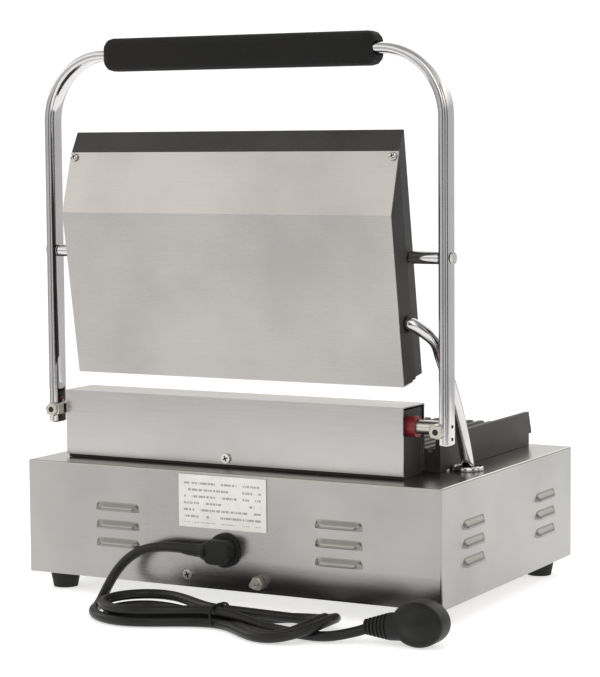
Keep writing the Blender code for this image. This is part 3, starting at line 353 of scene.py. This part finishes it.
NODE_LOOKS = {
    STEEL_BASE: ("base_shell", "bottom_cover", "drip_tray", "lower_heat_shield", "upper_heat_shield"),
    STEEL_BOX: ("rear_box_cover",),
    STEEL_COVER: ("upper_cover",),
    CHROME: ("handle_tube", "conduit_tube", "pivot_spacer_left", "pivot_spacer_right", "conduit_rosette"),
    SCREW_STEEL: ("base_screw_rear", "rear_box_screw", "cover_screw_left", "cover_screw_right",
                  "pivot_screw_left", "pivot_screw_right"),
    ZINC: ("hinge_shaft", "hinge_lever_left", "hinge_lever_right", "lever_bolt_left", "lever_bolt_right",
           "bonding_nut", "bonding_stud", "counter_spring_left", "counter_spring_right"),
    IRON: ("lower_griddle", "upper_griddle"),
    ENAMEL: ("upper_housing", "rear_box_frame"),
    PLASTIC: ("cable_gland", "gland_nut", "thermostat_knob", "switch_frame", "switch_rocker", "thermostat",
              "conduit_grommet"),
    FOAM: ("handle_grip",),
    RUBBER: ("foot_front_left", "foot_front_right", "foot_rear_left", "foot_rear_right"),
    CRIMSON: ("hinge_bush_left", "hinge_bush_right"),
    CERAMIC: ("terminal_block",),
    FIBRE: ("insulation_pad",),
    SHEATH: ("lower_heater", "upper_heater"),
    LABEL: ("rating_plate",),
    AMBER: ("lamp_heat",),
    GREEN: ("lamp_power",),
    PVC: ("cord_lead", "cord_hank", "cord_tail", "plug"),
}


def dress_nodes():
    for look, names in NODE_LOOKS.items():
        for name in names:
            mesh = NODES[name].data
            mesh.materials.clear()
            mesh.materials.append(look)


dress_nodes()


# ---------------------------------------------------------------- mesh helpers
def place_mesh(name, shape, look, body="base", smooth=True):
    mesh = bpy.data.meshes.new(name)
    bmesh.ops.recalc_face_normals(shape, faces=shape.faces)
    shape.to_mesh(mesh)
    shape.free()
    piece = bpy.data.objects.new(name, mesh)
    SCENE.collection.objects.link(piece)
    mesh.materials.append(look)
    if smooth:
        mesh.shade_smooth()
        sharpen(mesh)
    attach(piece, body)
    return piece


def sharpen(mesh, degrees=38.0):
    """Keeps folds sharper than that many degrees crisp under smooth shading."""
    shape = bmesh.new()
    shape.from_mesh(mesh)
    for edge in shape.edges:
        folded = len(edge.link_faces) == 2 and edge.calc_face_angle(0.0) > math.radians(degrees)
        edge.smooth = not folded
    shape.to_mesh(mesh)
    shape.free()


def turned(shape, profile, frame_matrix, steps=32):
    """A solid of revolution: profile is (radius, height) pairs, turned about the frame's Z axis."""
    rings = []
    for radius, height in profile:
        if radius <= 0.0:
            rings.append([shape.verts.new(frame_matrix @ Vector((0.0, 0.0, height)))])
            continue
        ring = []
        for step in range(steps):
            angle = 2 * math.pi * step / steps
            ring.append(shape.verts.new(frame_matrix @ Vector((radius * math.cos(angle),
                                                               radius * math.sin(angle), height))))
        rings.append(ring)
    for first, second in zip(rings, rings[1:]):
        for step in range(steps):
            following = (step + 1) % steps
            corners = [first[step % len(first)], first[following % len(first)],
                       second[following % len(second)], second[step % len(second)]]
            corners = list(dict.fromkeys(corners))
            if len(corners) > 2:
                shape.faces.new(corners)
    return shape


def axis_frame(origin, direction):
    turn = Vector((0.0, 0.0, 1.0)).rotation_difference(Vector(direction)).to_matrix().to_4x4()
    return Matrix.Translation(Vector(origin)) @ turn


def slab(shape, low, high, frame_matrix=Matrix.Identity(4)):
    corners = [Vector((x, y, z)) for x in (low[0], high[0]) for y in (low[1], high[1])
               for z in (low[2], high[2])]
    made = [shape.verts.new(frame_matrix @ corner) for corner in corners]
    for face in ((0, 1, 3, 2), (4, 6, 7, 5), (0, 4, 5, 1), (2, 3, 7, 6), (0, 2, 6, 4), (1, 5, 7, 3)):
        shape.faces.new([made[index] for index in face])


# ---------------------------------------------------------------- camera
def build_camera():
    azimuth, elevation, roll = (math.radians(angle) for angle in (28.4189, 5.0742, -0.4556))
    back = Vector((-math.sin(azimuth) * math.cos(elevation), math.cos(azimuth) * math.cos(elevation),
                   math.sin(elevation)))
    right = Vector((-math.cos(azimuth), -math.sin(azimuth), 0.0))
    up = back.cross(right)
    turned_right = math.cos(roll) * right + math.sin(roll) * up
    turned_up = -math.sin(roll) * right + math.cos(roll) * up
    data = bpy.data.cameras.new("camera")
    data.sensor_fit = "HORIZONTAL"
    data.sensor_width = 36.0
    data.lens = 136.26
    data.clip_start, data.clip_end = 0.05, 60.0
    camera = bpy.data.objects.new("camera", data)
    SCENE.collection.objects.link(camera)
    camera.matrix_world = Matrix((
        (turned_right.x, turned_up.x, back.x, -0.9785),
        (turned_right.y, turned_up.y, back.y, 1.8136),
        (turned_right.z, turned_up.z, back.z, 0.4055),
        (0.0, 0.0, 0.0, 1.0)))
    SCENE.camera = camera


build_camera()


# ---------------------------------------------------------------- cord
def ease(value):
    value = min(max(value, 0.0), 1.0)
    return value * value * (3.0 - 2.0 * value)


def run_points(start, tie, end):
    """A run of the hank from one fold to the next, drawn in to its own place under the tie."""
    points, count = [], 11
    for step in range(1, count):
        x = start[0] + (end[0] - start[0]) * step / count
        outer, share = (start, (start[0] - x) / (start[0] - TIE_X))
        if (x - TIE_X) * (start[0] - TIE_X) < 0:
            outer, share = (end, (end[0] - x) / (end[0] - TIE_X))
        drawn_in = ease(share)
        points.append((x, outer[1] + (tie[0] - outer[1]) * drawn_in,
                       outer[2] + (tie[1] - outer[2]) * drawn_in))
    return points


def fold_points(centre, radius, direction, first_z, hump_z, last_z):
    """A half turn at an end of the hank. direction is 1 at the +X end and -1 at the -X end."""
    points, count = [], 12
    for step in range(count + 1):
        share = step / count
        x = centre[0] + direction * radius * math.sin(math.pi * share)
        y = centre[1] - direction * radius * math.cos(math.pi * share)
        level = first_z + (last_z - first_z) * share
        hump = math.sin(math.pi * share) ** 2
        points.append((x, y, level + (hump_z - level) * hump))
    return points


def hank_points():
    """Five runs and four folds, wound from the +X end, where the lead comes in, to the -X end."""
    floor, upper, over = 0.0046, 0.0134, 0.0150
    right, left = (0.0475, 0.2065), (-0.0945, 0.2075)
    points = [(0.0935, 0.2040, floor), (0.0890, 0.2150, floor), (0.0810, 0.2270, floor),
              (0.0690, 0.2368, floor), (0.0550, 0.2425, floor)]
    outer_left, inner_left = 0.0410, 0.0322
    first, second = 0.0280, 0.0345
    start = (0.0450, 0.2438, floor)
    points.append(start)
    points += run_points(start, (HANK_Y + 0.0090, floor), (left[0], left[1] + outer_left, floor))
    points += fold_points(left, outer_left, -1, floor, over, floor)
    points += run_points((left[0], left[1] - outer_left, floor), (HANK_Y - 0.0090, floor),
                         (right[0], right[1] - first, floor))
    points += fold_points(right, first, 1, floor, floor, floor)
    points += run_points((right[0], right[1] + first, floor), (HANK_Y, floor),
                         (left[0], left[1] + inner_left, floor))
    points += fold_points(left, inner_left, -1, floor, over, floor + 0.0010)
    points += run_points((left[0], left[1] - inner_left, floor + 0.0010), (HANK_Y - 0.0045, upper),
                         (right[0] - 0.0030, right[1] - second, upper))
    points += fold_points((right[0] - 0.0030, right[1]), second, 1, upper, upper, upper)
    end = (-0.0945, 0.2170, floor)
    points += run_points((right[0] - 0.0030, right[1] + second, upper), (HANK_Y + 0.0046, upper), end)
    points += [end, (-0.1080, 0.2205, floor), (-0.1210, 0.2232, floor)]
    return points


def smooth_line(route, spacing):
    """Points evenly apart on a smooth curve through the route."""
    knots = [Vector(point) for point in route]
    knots = [knots[0] * 2 - knots[1]] + knots + [knots[-1] * 2 - knots[-2]]
    fine = []
    for index in range(1, len(knots) - 2):
        before, here, there, after = knots[index - 1:index + 3]
        for step in range(12):
            t = step / 12
            fine.append(0.5 * ((2 * here) + (there - before) * t
                               + (2 * before - 5 * here + 4 * there - after) * t * t
                               + (3 * here - before - 3 * there + after) * t ** 3))
    fine.append(knots[-2])
    return resample(fine, spacing)


def resample(line, spacing):
    lengths = [0.0]
    for first, second in zip(line, line[1:]):
        lengths.append(lengths[-1] + (second - first).length)
    count = max(int(lengths[-1] / spacing), 2)
    points, index = [], 0
    for step in range(count + 1):
        target = lengths[-1] * step / count
        while index < len(lengths) - 2 and lengths[index + 1] < target:
            index += 1
        part = (target - lengths[index]) / max(lengths[index + 1] - lengths[index], 1e-9)
        points.append(line[index].lerp(line[index + 1], part))
    return points


def relax(line, rounds, last):
    """Eases the curve's first points, keeping its ends and keeping it off the floor."""
    for _ in range(rounds):
        eased = [line[0], line[1]]
        for before, here, after in zip(line[1:last], line[2:last], line[3:]):
            eased.append(here * 0.5 + (before + after) * 0.25)
        line = eased + line[len(eased):]
    return [Vector((point.x, point.y, max(point.z, CORD_RADIUS + 0.0002))) for point in line]


def build_cord():
    route = list(LEAD_ROUTE) + hank_points() + list(TAIL_ROUTE)
    line = smooth_line(route, CORD_STEP)
    line = relax(line, EASE_ROUNDS, len(line) - 1)
    line = relax(line, LEAD_EASE_ROUNDS, LEAD_EASE_POINTS)
    curve = bpy.data.curves.new("power_cord", "CURVE")
    curve.dimensions = "3D"
    curve.bevel_depth = CORD_RADIUS
    curve.bevel_resolution = 5
    curve.use_fill_caps = True
    spline = curve.splines.new("POLY")
    spline.points.add(len(line) - 1)
    for point, place in zip(spline.points, line):
        point.co = (*place, 1.0)
    spline.use_smooth = True
    cord = bpy.data.objects.new("power_cord", curve)
    SCENE.collection.objects.link(cord)
    curve.materials.append(PVC)
    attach(cord, "base")
    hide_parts("cord_lead", "cord_hank", "cord_tail")
    return cord, line


CORD, CORD_LINE = build_cord()


def build_plug():
    """The moulded plug: a domed disc on its edge, with a ribbed sleeve towards the cord and two pins."""
    x, y, z = PLUG_CENTRE
    half, radius, edge = PLUG_THICKNESS / 2, PLUG_RADIUS, 0.0050
    profile = [(0.0, -half), (radius - edge - 0.004, -half), (radius - edge, -half + 0.0004)]
    for step in range(1, 7):
        angle = math.pi / 2 * step / 6
        profile.append((radius - edge + edge * math.sin(angle), -half + edge - edge * math.cos(angle)))
    for step in range(0, 7):
        angle = math.pi / 2 * step / 6
        profile.append((radius - edge + edge * math.cos(angle), half - edge + edge * math.sin(angle)))
    for step in range(1, 13):
        share = 1.0 - step / 12
        profile.append(((radius - edge) * share, half + 0.0048 * (1.0 - share * share) ** 2))
    shape = bmesh.new()
    turned(shape, profile, axis_frame((x, y, z), (0.0, 1.0, 0.0)), 56)
    for corner in shape.verts:
        corner.co.z *= PLUG_SQUASH
    body = place_mesh("plug_body", shape, PLASTIC)
    shape = bmesh.new()
    start, end = Vector((x + 0.0120, y + 0.0005, 0.0150)), Vector((-0.1655, 0.2042, 0.0119))
    along = end - start
    profile = [(0.0, -0.0020), (0.0120, -0.0020)]
    ribs = 6
    smooth_share = 0.42
    profile.append((0.0112, along.length * smooth_share))
    for rib in range(ribs):
        low = smooth_share + (1 - smooth_share) * rib / ribs
        high = smooth_share + (1 - smooth_share) * (rib + 1) / ribs
        size = 0.0112 + (0.0062 - 0.0112) * (rib + 0.5) / ribs
        step = (high - low) * along.length
        profile += [(size - 0.0011, low * along.length + step * 0.10),
                    (size - 0.0011, low * along.length + step * 0.36),
                    (size, low * along.length + step * 0.48),
                    (size - 0.0003, low * along.length + step * 0.96)]
    profile.append((CORD_RADIUS * 0.9, along.length + 0.0006))
    turned(shape, profile, axis_frame(start, along.normalized()), 36)
    sleeve = place_mesh("plug_sleeve", shape, PLASTIC)
    shape = bmesh.new()
    for offset in (-0.0095, 0.0095):
        pin = [(0.0, 0.0), (0.0024, 0.0), (0.0024, 0.0165), (0.0019, 0.0184), (0.0, 0.0190)]
        turned(shape, pin, axis_frame((x + offset, y - half, z * PLUG_SQUASH), (0.0, -1.0, 0.0)), 24)
    pins = place_mesh("plug_pins", shape, ZINC)
    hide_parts("plug")
    return body, sleeve, pins


PLUG_BODY, PLUG_SLEEVE, PLUG_PINS = build_plug()


def build_strain_relief():
    """A tapered sleeve on the cord where it leaves the gland's elbow."""
    shape = bmesh.new()
    profile = [(0.0, -0.0015), (0.0066, -0.0015), (0.0066, 0.0020), (0.0059, 0.0034), (0.0057, 0.0090),
               (0.0052, 0.0160), (0.0047, 0.0215), (0.0040, 0.0220)]
    turned(shape, profile, axis_frame((0.0130, 0.1555, 0.0510), RELIEF_AXIS), 32)
    return place_mesh("strain_relief", shape, PLASTIC)


STRAIN_RELIEF = build_strain_relief()


def build_tie():
    """A short black tie twisted round the middle of the hank."""
    outline = []
    for step in range(24):
        angle = 2 * math.pi * step / 24
        y = HANK_Y + 0.0150 * math.copysign(abs(math.cos(angle)) ** 0.62, math.cos(angle))
        z = 0.0095 + 0.0092 * math.copysign(abs(math.sin(angle)) ** 0.75, math.sin(angle))
        outline.append((TIE_X + 0.0010 * math.sin(2 * angle), y, max(z, 0.0009)))
    curve = bpy.data.curves.new("hank_tie", "CURVE")
    curve.dimensions = "3D"
    curve.bevel_depth = 0.0011
    curve.bevel_resolution = 3
    spline = curve.splines.new("POLY")
    spline.points.add(len(outline) - 1)
    for point, place in zip(spline.points, outline):
        point.co = (*place, 1.0)
    spline.use_cyclic_u = True
    tie = bpy.data.objects.new("hank_tie", curve)
    SCENE.collection.objects.link(tie)
    curve.materials.append(PLASTIC)
    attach(tie, "base")
    return tie


TIE = build_tie()


# ---------------------------------------------------------------- louvres
def build_louvre(name, origin, along, outward):
    """A pressed hood over a slot, closed at its top and ends and open along its lower edge."""
    half_length, height, depth, steps, rows = 0.0230, 0.0090, 0.0035, 24, 8
    along, outward, up = Vector(along), Vector(outward), Vector((0.0, 0.0, 1.0))
    origin = Vector(origin)
    shape = bmesh.new()
    grid = []
    for column in range(steps + 1):
        across = -1.0 + 2.0 * column / steps
        end_slope = min((1.0 - abs(across)) / 0.30, 1.0)
        line = []
        for row in range(rows + 1):
            share = row / rows
            swell = ease(share * 1.15) * ease(end_slope)
            place = origin + along * (across * half_length) + up * (height * (1.0 - share))
            line.append(shape.verts.new(place + outward * (depth * swell - 0.0005)))
        grid.append(line)
    for first, second in zip(grid, grid[1:]):
        for row in range(rows):
            shape.faces.new((first[row], second[row], second[row + 1], first[row + 1]))
    piece = place_mesh(name, shape, STEEL_HOOD_SHADED)
    skin = piece.modifiers.new("sheet", "SOLIDIFY")
    skin.thickness = 0.0006
    skin.offset = 0.0
    return piece


def build_louvres():
    for row, slot_top in enumerate(LOUVRE_ROWS):
        z = slot_top - 0.0052
        for side, label in ((-1, "right"), (1, "left")):
            build_louvre(f"louvre_back_{label}_{row}", (side * LOUVRE_BACK_X, BASE_REAR, z),
                         (1, 0, 0), (0, 1, 0))
            for end, y in (("front", -LOUVRE_SIDE_Y), ("rear", LOUVRE_SIDE_Y)):
                build_louvre(f"louvre_{label}_{end}_{row}", (side * BASE_HALF_X, y, z), (0, 1, 0),
                             (side, 0, 0))


build_louvres()


# ---------------------------------------------------------------- screws and small fittings
def recess_shade_cross(name, centre, direction, size, body="base"):
    """A dark cross of painted shade, standing for the shade in a screw head's cross recess, a hair above the
    head so that it shows.
    """
    shape = bmesh.new()
    place = axis_frame(centre, direction) @ Matrix.Rotation(math.radians(24), 4, "Z")
    slab(shape, (-size, -size * 0.24, -0.0001), (size, size * 0.24, 0.00008), place)
    slab(shape, (-size * 0.24, -size, -0.0001), (size * 0.24, size, 0.00008), place)
    return place_mesh(name, shape, ENAMEL, body, smooth=False)


def domed_screw(name, centre, direction, radius, rise, body="base", look=None):
    shape = bmesh.new()
    profile = [(0.0, 0.0), (radius, 0.0), (radius, rise * 0.25)]
    for step in range(1, 6):
        angle = math.pi / 2 * step / 5
        reach = radius * math.cos(angle) if step < 5 else 0.0
        profile.append((reach, rise * (0.25 + 0.75 * math.sin(angle))))
    turned(shape, profile, axis_frame(centre, direction), 28)
    return place_mesh(name, shape, look or SCREW_STEEL, body)


def node_box(name):
    """A node's lowest and highest corners, and its middle."""
    low, high = (Vector(corner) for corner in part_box(name))
    return low, high, (low + high) / 2


def build_screws():
    # Painted shade: the dark crosses stand for the shade inside the screws' cross recesses.
    _, high, middle = node_box("base_screw_rear")
    recess_shade_cross("recess_shade_base_rear", (middle.x, high.y, middle.z), (0, 1, 0), 0.0027)
    _, high, middle = node_box("rear_box_screw")
    recess_shade_cross("recess_shade_rear_box", (middle.x, high.y, middle.z), (0, 1, 0), 0.0026)
    x, y, rise = -0.1640, 0.0457, 0.0018
    domed_screw("base_top_screw", (x, y, BASE_TOP), (0, 0, 1), 0.0040, rise)
    recess_shade_cross("recess_shade_base_top", (x, y, BASE_TOP + rise), (0, 0, 1), 0.0022)
    low, _, _ = node_box("handle_tube")
    for index, z in enumerate((0.1650, 0.1545)):
        domed_screw(f"arm_rivet_{index}", (low.x - 0.0002, ARM_Y, z), (-1, 0, 0), 0.0015, 0.0005,
                    "handle", ENAMEL)


build_screws()


def soften(piece, width, segments):
    edge = piece.modifiers.new("edge", "BEVEL")
    edge.width, edge.segments = width, segments
    return edge


def prism(shape, outline, low, high):
    """An outline of (x, z) points, given a depth along Y."""
    front = [shape.verts.new((x, low, z)) for x, z in outline]
    back = [shape.verts.new((x, high, z)) for x, z in outline]
    shape.faces.new(front)
    shape.faces.new(list(reversed(back)))
    for index in range(len(outline)):
        following = (index + 1) % len(outline)
        shape.faces.new((front[index], back[index], back[following], front[following]))


def flat_oval(half_long, half_thin, steps=44):
    """A flattened tube's section, as (across, along) pairs. Its sides are slightly full."""
    points = []
    for step in range(steps):
        angle = 2 * math.pi * step / steps
        across, along = math.cos(angle), math.sin(angle)
        points.append((half_thin * math.copysign(abs(across) ** 0.78, across),
                       half_long * math.copysign(abs(along) ** 0.78, along)))
    return points


def sweep(shape, route, section, side):
    """Carries a section along a route. side is the direction that its second number starts along."""
    rings, width = [], Vector(side)
    for index, place in enumerate(route):
        ahead = (route[min(index + 1, len(route) - 1)] - route[max(index - 1, 0)]).normalized()
        width = (width - ahead * width.dot(ahead)).normalized()
        across = ahead.cross(width)
        rings.append([shape.verts.new(place + across * u + width * v) for u, v in section])
    for first, second in zip(rings, rings[1:]):
        for step in range(len(section)):
            following = (step + 1) % len(section)
            shape.faces.new((first[step], first[following], second[following], second[step]))
    shape.faces.new(rings[0])
    shape.faces.new(list(reversed(rings[-1])))


def build_handle_tube():
    """The chromed flat-oval U, with round bends and softened ends."""
    centre_x, centre_z = ARM_X - HANDLE_BEND, HANDLE_TOP - HANDLE_BEND
    half = [Vector((ARM_X, ARM_Y, ARM_BOTTOM + (centre_z - ARM_BOTTOM) * step / 8)) for step in range(8)]
    for step in range(25):
        angle = math.pi / 2 * step / 24
        half.append(Vector((centre_x + HANDLE_BEND * math.cos(angle), ARM_Y,
                            centre_z + HANDLE_BEND * math.sin(angle))))
    route = half + [Vector((-place.x, place.y, place.z)) for place in reversed(half)]
    shape = bmesh.new()
    sweep(shape, route, flat_oval(ARM_HALF_WIDE, ARM_HALF_THIN), (0.0, 1.0, 0.0))
    tube = place_mesh("handle_tube_plated", shape, CHROME, "handle")
    edge = soften(tube, 0.0014, 3)
    edge.limit_method = "ANGLE"
    edge.angle_limit = math.radians(60)
    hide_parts("handle_tube")


def build_conduit_tube():
    """The chromed wiring conduit from the head's side down into the base."""
    start, foot = Vector(CONDUIT_START), Vector(CONDUIT_FOOT)
    along = foot - start
    side = Vector((0.0, -along.z, along.y)).normalized()
    knots = [Vector((-0.1615 + offset, start.y, start.z)) for offset in (0.0070, 0.0010, -0.0050)]
    for step in range(1, 10):
        share = 1.08 * step / 9
        place = start + along * share + side * (4 * CONDUIT_BOW * share * (1 - share))
        knots.append(Vector((CONDUIT_X, place.y, place.z)))
    circle = []
    for step in range(24):
        angle = 2 * math.pi * step / 24
        circle.append((CONDUIT_RADIUS * math.cos(angle), CONDUIT_RADIUS * math.sin(angle)))
    shape = bmesh.new()
    sweep(shape, ease_once(smooth_line(knots, 0.0030)), circle, (0.0, 0.0, 1.0))
    tube = place_mesh("conduit_plated", shape, CHROME, "conduit")
    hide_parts("conduit_tube")


def ease_once(line):
    """Eases every point but the two ends, once."""
    eased = [line[0]]
    for before, here, after in zip(line, line[1:], line[2:]):
        eased.append(here * 0.5 + (before + after) * 0.25)
    return eased + [line[-1]]


def build_round_fittings():
    """Smooth spacers between head and arms, the collar round the conduit's slot, the cover's screws."""
    for side, label in ((1, "left"), (-1, "right")):
        shape = bmesh.new()
        profile = [(0.0, 0.0), (0.0049, 0.0), (0.0055, 0.0006), (0.0055, 0.0269), (0.0049, 0.0275),
                   (0.0, 0.0275)]
        turned(shape, profile, axis_frame((side * PIVOT_X, ARM_Y, PIVOT_Z), (side, 0, 0)), 32)
        spacer = place_mesh(f"pivot_spacer_plated_{label}", shape, CHROME, "handle")
        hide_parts(f"pivot_spacer_{label}")
    shape = bmesh.new()
    profile = [(0.0124, -0.0004), (0.0129, -0.0030), (0.0136, -0.0030), (0.0140, -0.0024), (0.0139, -0.0010),
               (0.0135, 0.0000), (0.0130, 0.0004), (0.0125, 0.0003), (0.0124, -0.0004)]
    turned(shape, profile, axis_frame(ROSETTE_TOP, (0, 0, 1)), 40)
    place_mesh("conduit_collar", shape, CHROME, "base")
    for side, label in ((1, "left"), (-1, "right")):
        facing, rise = Vector(COVER_FACING), 0.0011
        centre = Vector((side * COVER_SCREW[0], *COVER_SCREW[1:])) + facing * 0.0006
        domed_screw(f"cover_dome_{label}", centre, COVER_FACING, 0.0034, rise, "upper_head", CHROME)
        # Painted shade: a dark cross stands for the shade inside each cover screw's recess.
        recess_shade_cross(f"recess_shade_cover_{label}", centre + facing * rise, COVER_FACING, 0.0021, "upper_head")


def build_gland():
    """The lead's elbow gland: a round flange, a rounded elbow and the ring that the sleeve comes out of."""
    x, y, z = GLAND
    shape = bmesh.new()
    profile = [(0.0, 0.0003), (0.0146, 0.0003), (0.0150, 0.0009), (0.0150, 0.0032), (0.0143, 0.0042),
               (0.0118, 0.0046), (0.0, 0.0046)]
    turned(shape, profile, axis_frame((x, y, z), (0, 1, 0)), 44)
    place_mesh("gland_flange", shape, PLASTIC, "base")
    shape = bmesh.new()
    outline = [(-0.0125, -0.0040), (-0.0125, 0.0068), (-0.0085, 0.0108), (0.0080, 0.0108), (0.0128, 0.0075),
               (0.0128, -0.0075), (0.0080, -0.0108), (-0.0055, -0.0108)]
    prism(shape, [(x + across, z + up) for across, up in outline], y + 0.0036, y + 0.0180)
    elbow = place_mesh("gland_elbow", shape, PLASTIC, "base")
    soften(elbow, 0.0024, 3)
    shape = bmesh.new()
    profile = [(0.0, -0.002), (0.0072, -0.002), (0.0076, -0.0012), (0.0076, 0.0018), (0.0070, 0.0026),
               (0.0, 0.0026)]
    turned(shape, profile, axis_frame((0.0128, 0.1555, 0.0510), RELIEF_AXIS), 36)
    place_mesh("gland_ring", shape, PLASTIC, "base")
    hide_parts("cable_gland")


def build_hinge_lug(side, label):
    """The zinc strap from the hinge shaft round the back of an arm, with its hex eye."""
    shape = bmesh.new()
    inner, outer = sorted((side * 0.1845, side * 0.1892))
    slab(shape, (inner, 0.0945, 0.1572), (outer, 0.1238, 0.1668))
    strap = place_mesh(f"hinge_strap_{label}", shape, ZINC, "handle")
    soften(strap, 0.0009, 2)
    shape = bmesh.new()
    centre_x, centre_z, across = side * 0.1913, 0.1616, 0.0066
    corners = [math.radians(60 * step + 12) for step in range(6)]
    outline = [(centre_x + across * math.cos(angle), centre_z + across * math.sin(angle))
               for angle in corners]
    prism(shape, outline, 0.1206, 0.1262)
    eye = place_mesh(f"hinge_eye_{label}", shape, ZINC, "handle")
    soften(eye, 0.0008, 2)
    # Painted shade: a dark disc stands for the shade in the eye's socket.
    domed_screw(f"hinge_eye_socket_shade_{label}", (centre_x, 0.1262, centre_z), (0, 1, 0), 0.0026, 0.0003,
                "handle", ENAMEL)
    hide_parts(f"hinge_lever_{label}", f"lever_bolt_{label}")


build_hinge_lug(1, "left")
build_hinge_lug(-1, "right")
build_handle_tube()
build_conduit_tube()
build_round_fittings()
build_gland()


# ---------------------------------------------------------------- dial and panel marks
def build_dial():
    """Ticks round the thermostat knob and a pointer line on it."""
    x, front, z = FRONT_PANEL
    inner, half_height = 0.0225, 0.00035
    shape = bmesh.new()
    for step in range(11):
        angle = math.radians(225 - 27 * step)
        place = Matrix.Translation((x, front, z)) @ Matrix.Rotation(-angle, 4, "Y")
        longer = 0.0050 if step % 5 == 0 else 0.0032
        slab(shape, (inner, -0.00025, -half_height), (inner + longer, 0.00010, half_height), place)
    place_mesh("dial_ticks", shape, MARKING, "base", smooth=False)
    low, _, middle = node_box("thermostat_knob")
    shape = bmesh.new()
    slab(shape, (-0.0006, low.y - 0.0002, 0.0040), (0.0006, low.y + 0.0004, 0.0150),
         Matrix.Translation((middle.x, 0.0, middle.z)))
    place_mesh("knob_pointer", shape, MARKING, "thermostat_knob", smooth=False)


build_dial()


# ---------------------------------------------------------------- floor, world and lights
def build_stage():
    """A pale floor that glows a little, so that it stays white under the object."""
    floor = bpy.data.meshes.new("floor")
    corners = [(x * FLOOR_HALF_SIZE, y * FLOOR_HALF_SIZE, FLOOR_LEVEL)
               for x, y in ((-1, -1), (1, -1), (1, 1), (-1, 1))]
    floor.from_pydata(corners, [], [(0, 1, 2, 3)])
    piece = bpy.data.objects.new("floor", floor)
    SCENE.collection.objects.link(piece)
    material, nodes, _ = new_material("floor")
    shader = plain_shader(nodes, 0.0, Roughness=0.9, Emission_Strength=0.58)
    shader.inputs["Emission Color"].default_value = (1.0, 1.0, 1.0, 1.0)
    shader.inputs["Base Color"].default_value = (0.80, 0.80, 0.80, 1.0)
    floor.materials.append(material)


def build_world():
    """A studio that is brightest well above the horizon and dimmer overhead, with dark gaps between
    its panels. The camera itself sees plain white."""
    world = bpy.data.worlds.new("studio")
    world.use_nodes = True
    SCENE.world = world
    nodes, links = world.node_tree.nodes, world.node_tree.links
    background = nodes["Background"]
    place = nodes.new("ShaderNodeTexCoord")
    split = nodes.new("ShaderNodeSeparateXYZ")
    links.new(place.outputs["Generated"], split.inputs["Vector"])
    lifted = spread(nodes, links, split.outputs["Z"], 0.0, 1.0, -1.0, 1.0)
    height = ramp(nodes, links, lifted, ((0.45, (0.80, 0.79, 0.78)), (0.56, (0.74, 0.73, 0.71)),
                                         (0.69, (2.10, 2.05, 1.92)), (0.78, (1.10, 1.08, 1.02)),
                                         (1.0, (0.50, 0.50, 0.50))))
    around = math_node(nodes, links, "ARCTAN2", split.outputs["Y"], split.outputs["X"])
    gaps = None
    for angle, width in ((-0.60, 0.20), (0.42, 0.10), (1.66, 0.22), (2.75, 0.20), (-2.75, 0.14)):
        one = near(nodes, links, around, angle, width)
        gaps = one if gaps is None else math_node(nodes, links, "ADD", gaps, one, True)
    low_only = math_node(nodes, links, "LESS_THAN", split.outputs["Z"], 0.60)
    dimmed = math_node(nodes, links, "MULTIPLY", math_node(nodes, links, "MULTIPLY", gaps, low_only), 0.86)
    studio = mix_colour(nodes, links, dimmed, height, (0.03, 0.03, 0.032))
    seen = nodes.new("ShaderNodeLightPath")
    links.new(mix_colour(nodes, links, seen.outputs["Is Camera Ray"], studio, (1.3, 1.3, 1.3)),
              background.inputs["Color"])
    background.inputs["Strength"].default_value = 0.85


def add_light(name, place, target, size, power):
    data = bpy.data.lights.new(name, "AREA")
    data.shape = "SQUARE"
    data.size = size
    data.energy = power
    light = bpy.data.objects.new(name, data)
    SCENE.collection.objects.link(light)
    light.location = place
    light.rotation_euler = (Vector(target) - Vector(place)).to_track_quat("-Z", "Y").to_euler()


build_stage()
build_world()
add_light("key", (-0.9, 1.7, 2.1), (0.0, 0.0, 0.2), 1.6, 7.0)
add_light("fill", (2.0, 0.4, 1.6), (0.0, 0.0, 0.2), 1.8, 3.5)
add_light("front", (0.2, -2.2, 1.7), (0.0, 0.0, 0.2), 1.8, 5.0)
SCENE.view_settings.view_transform = "Standard"
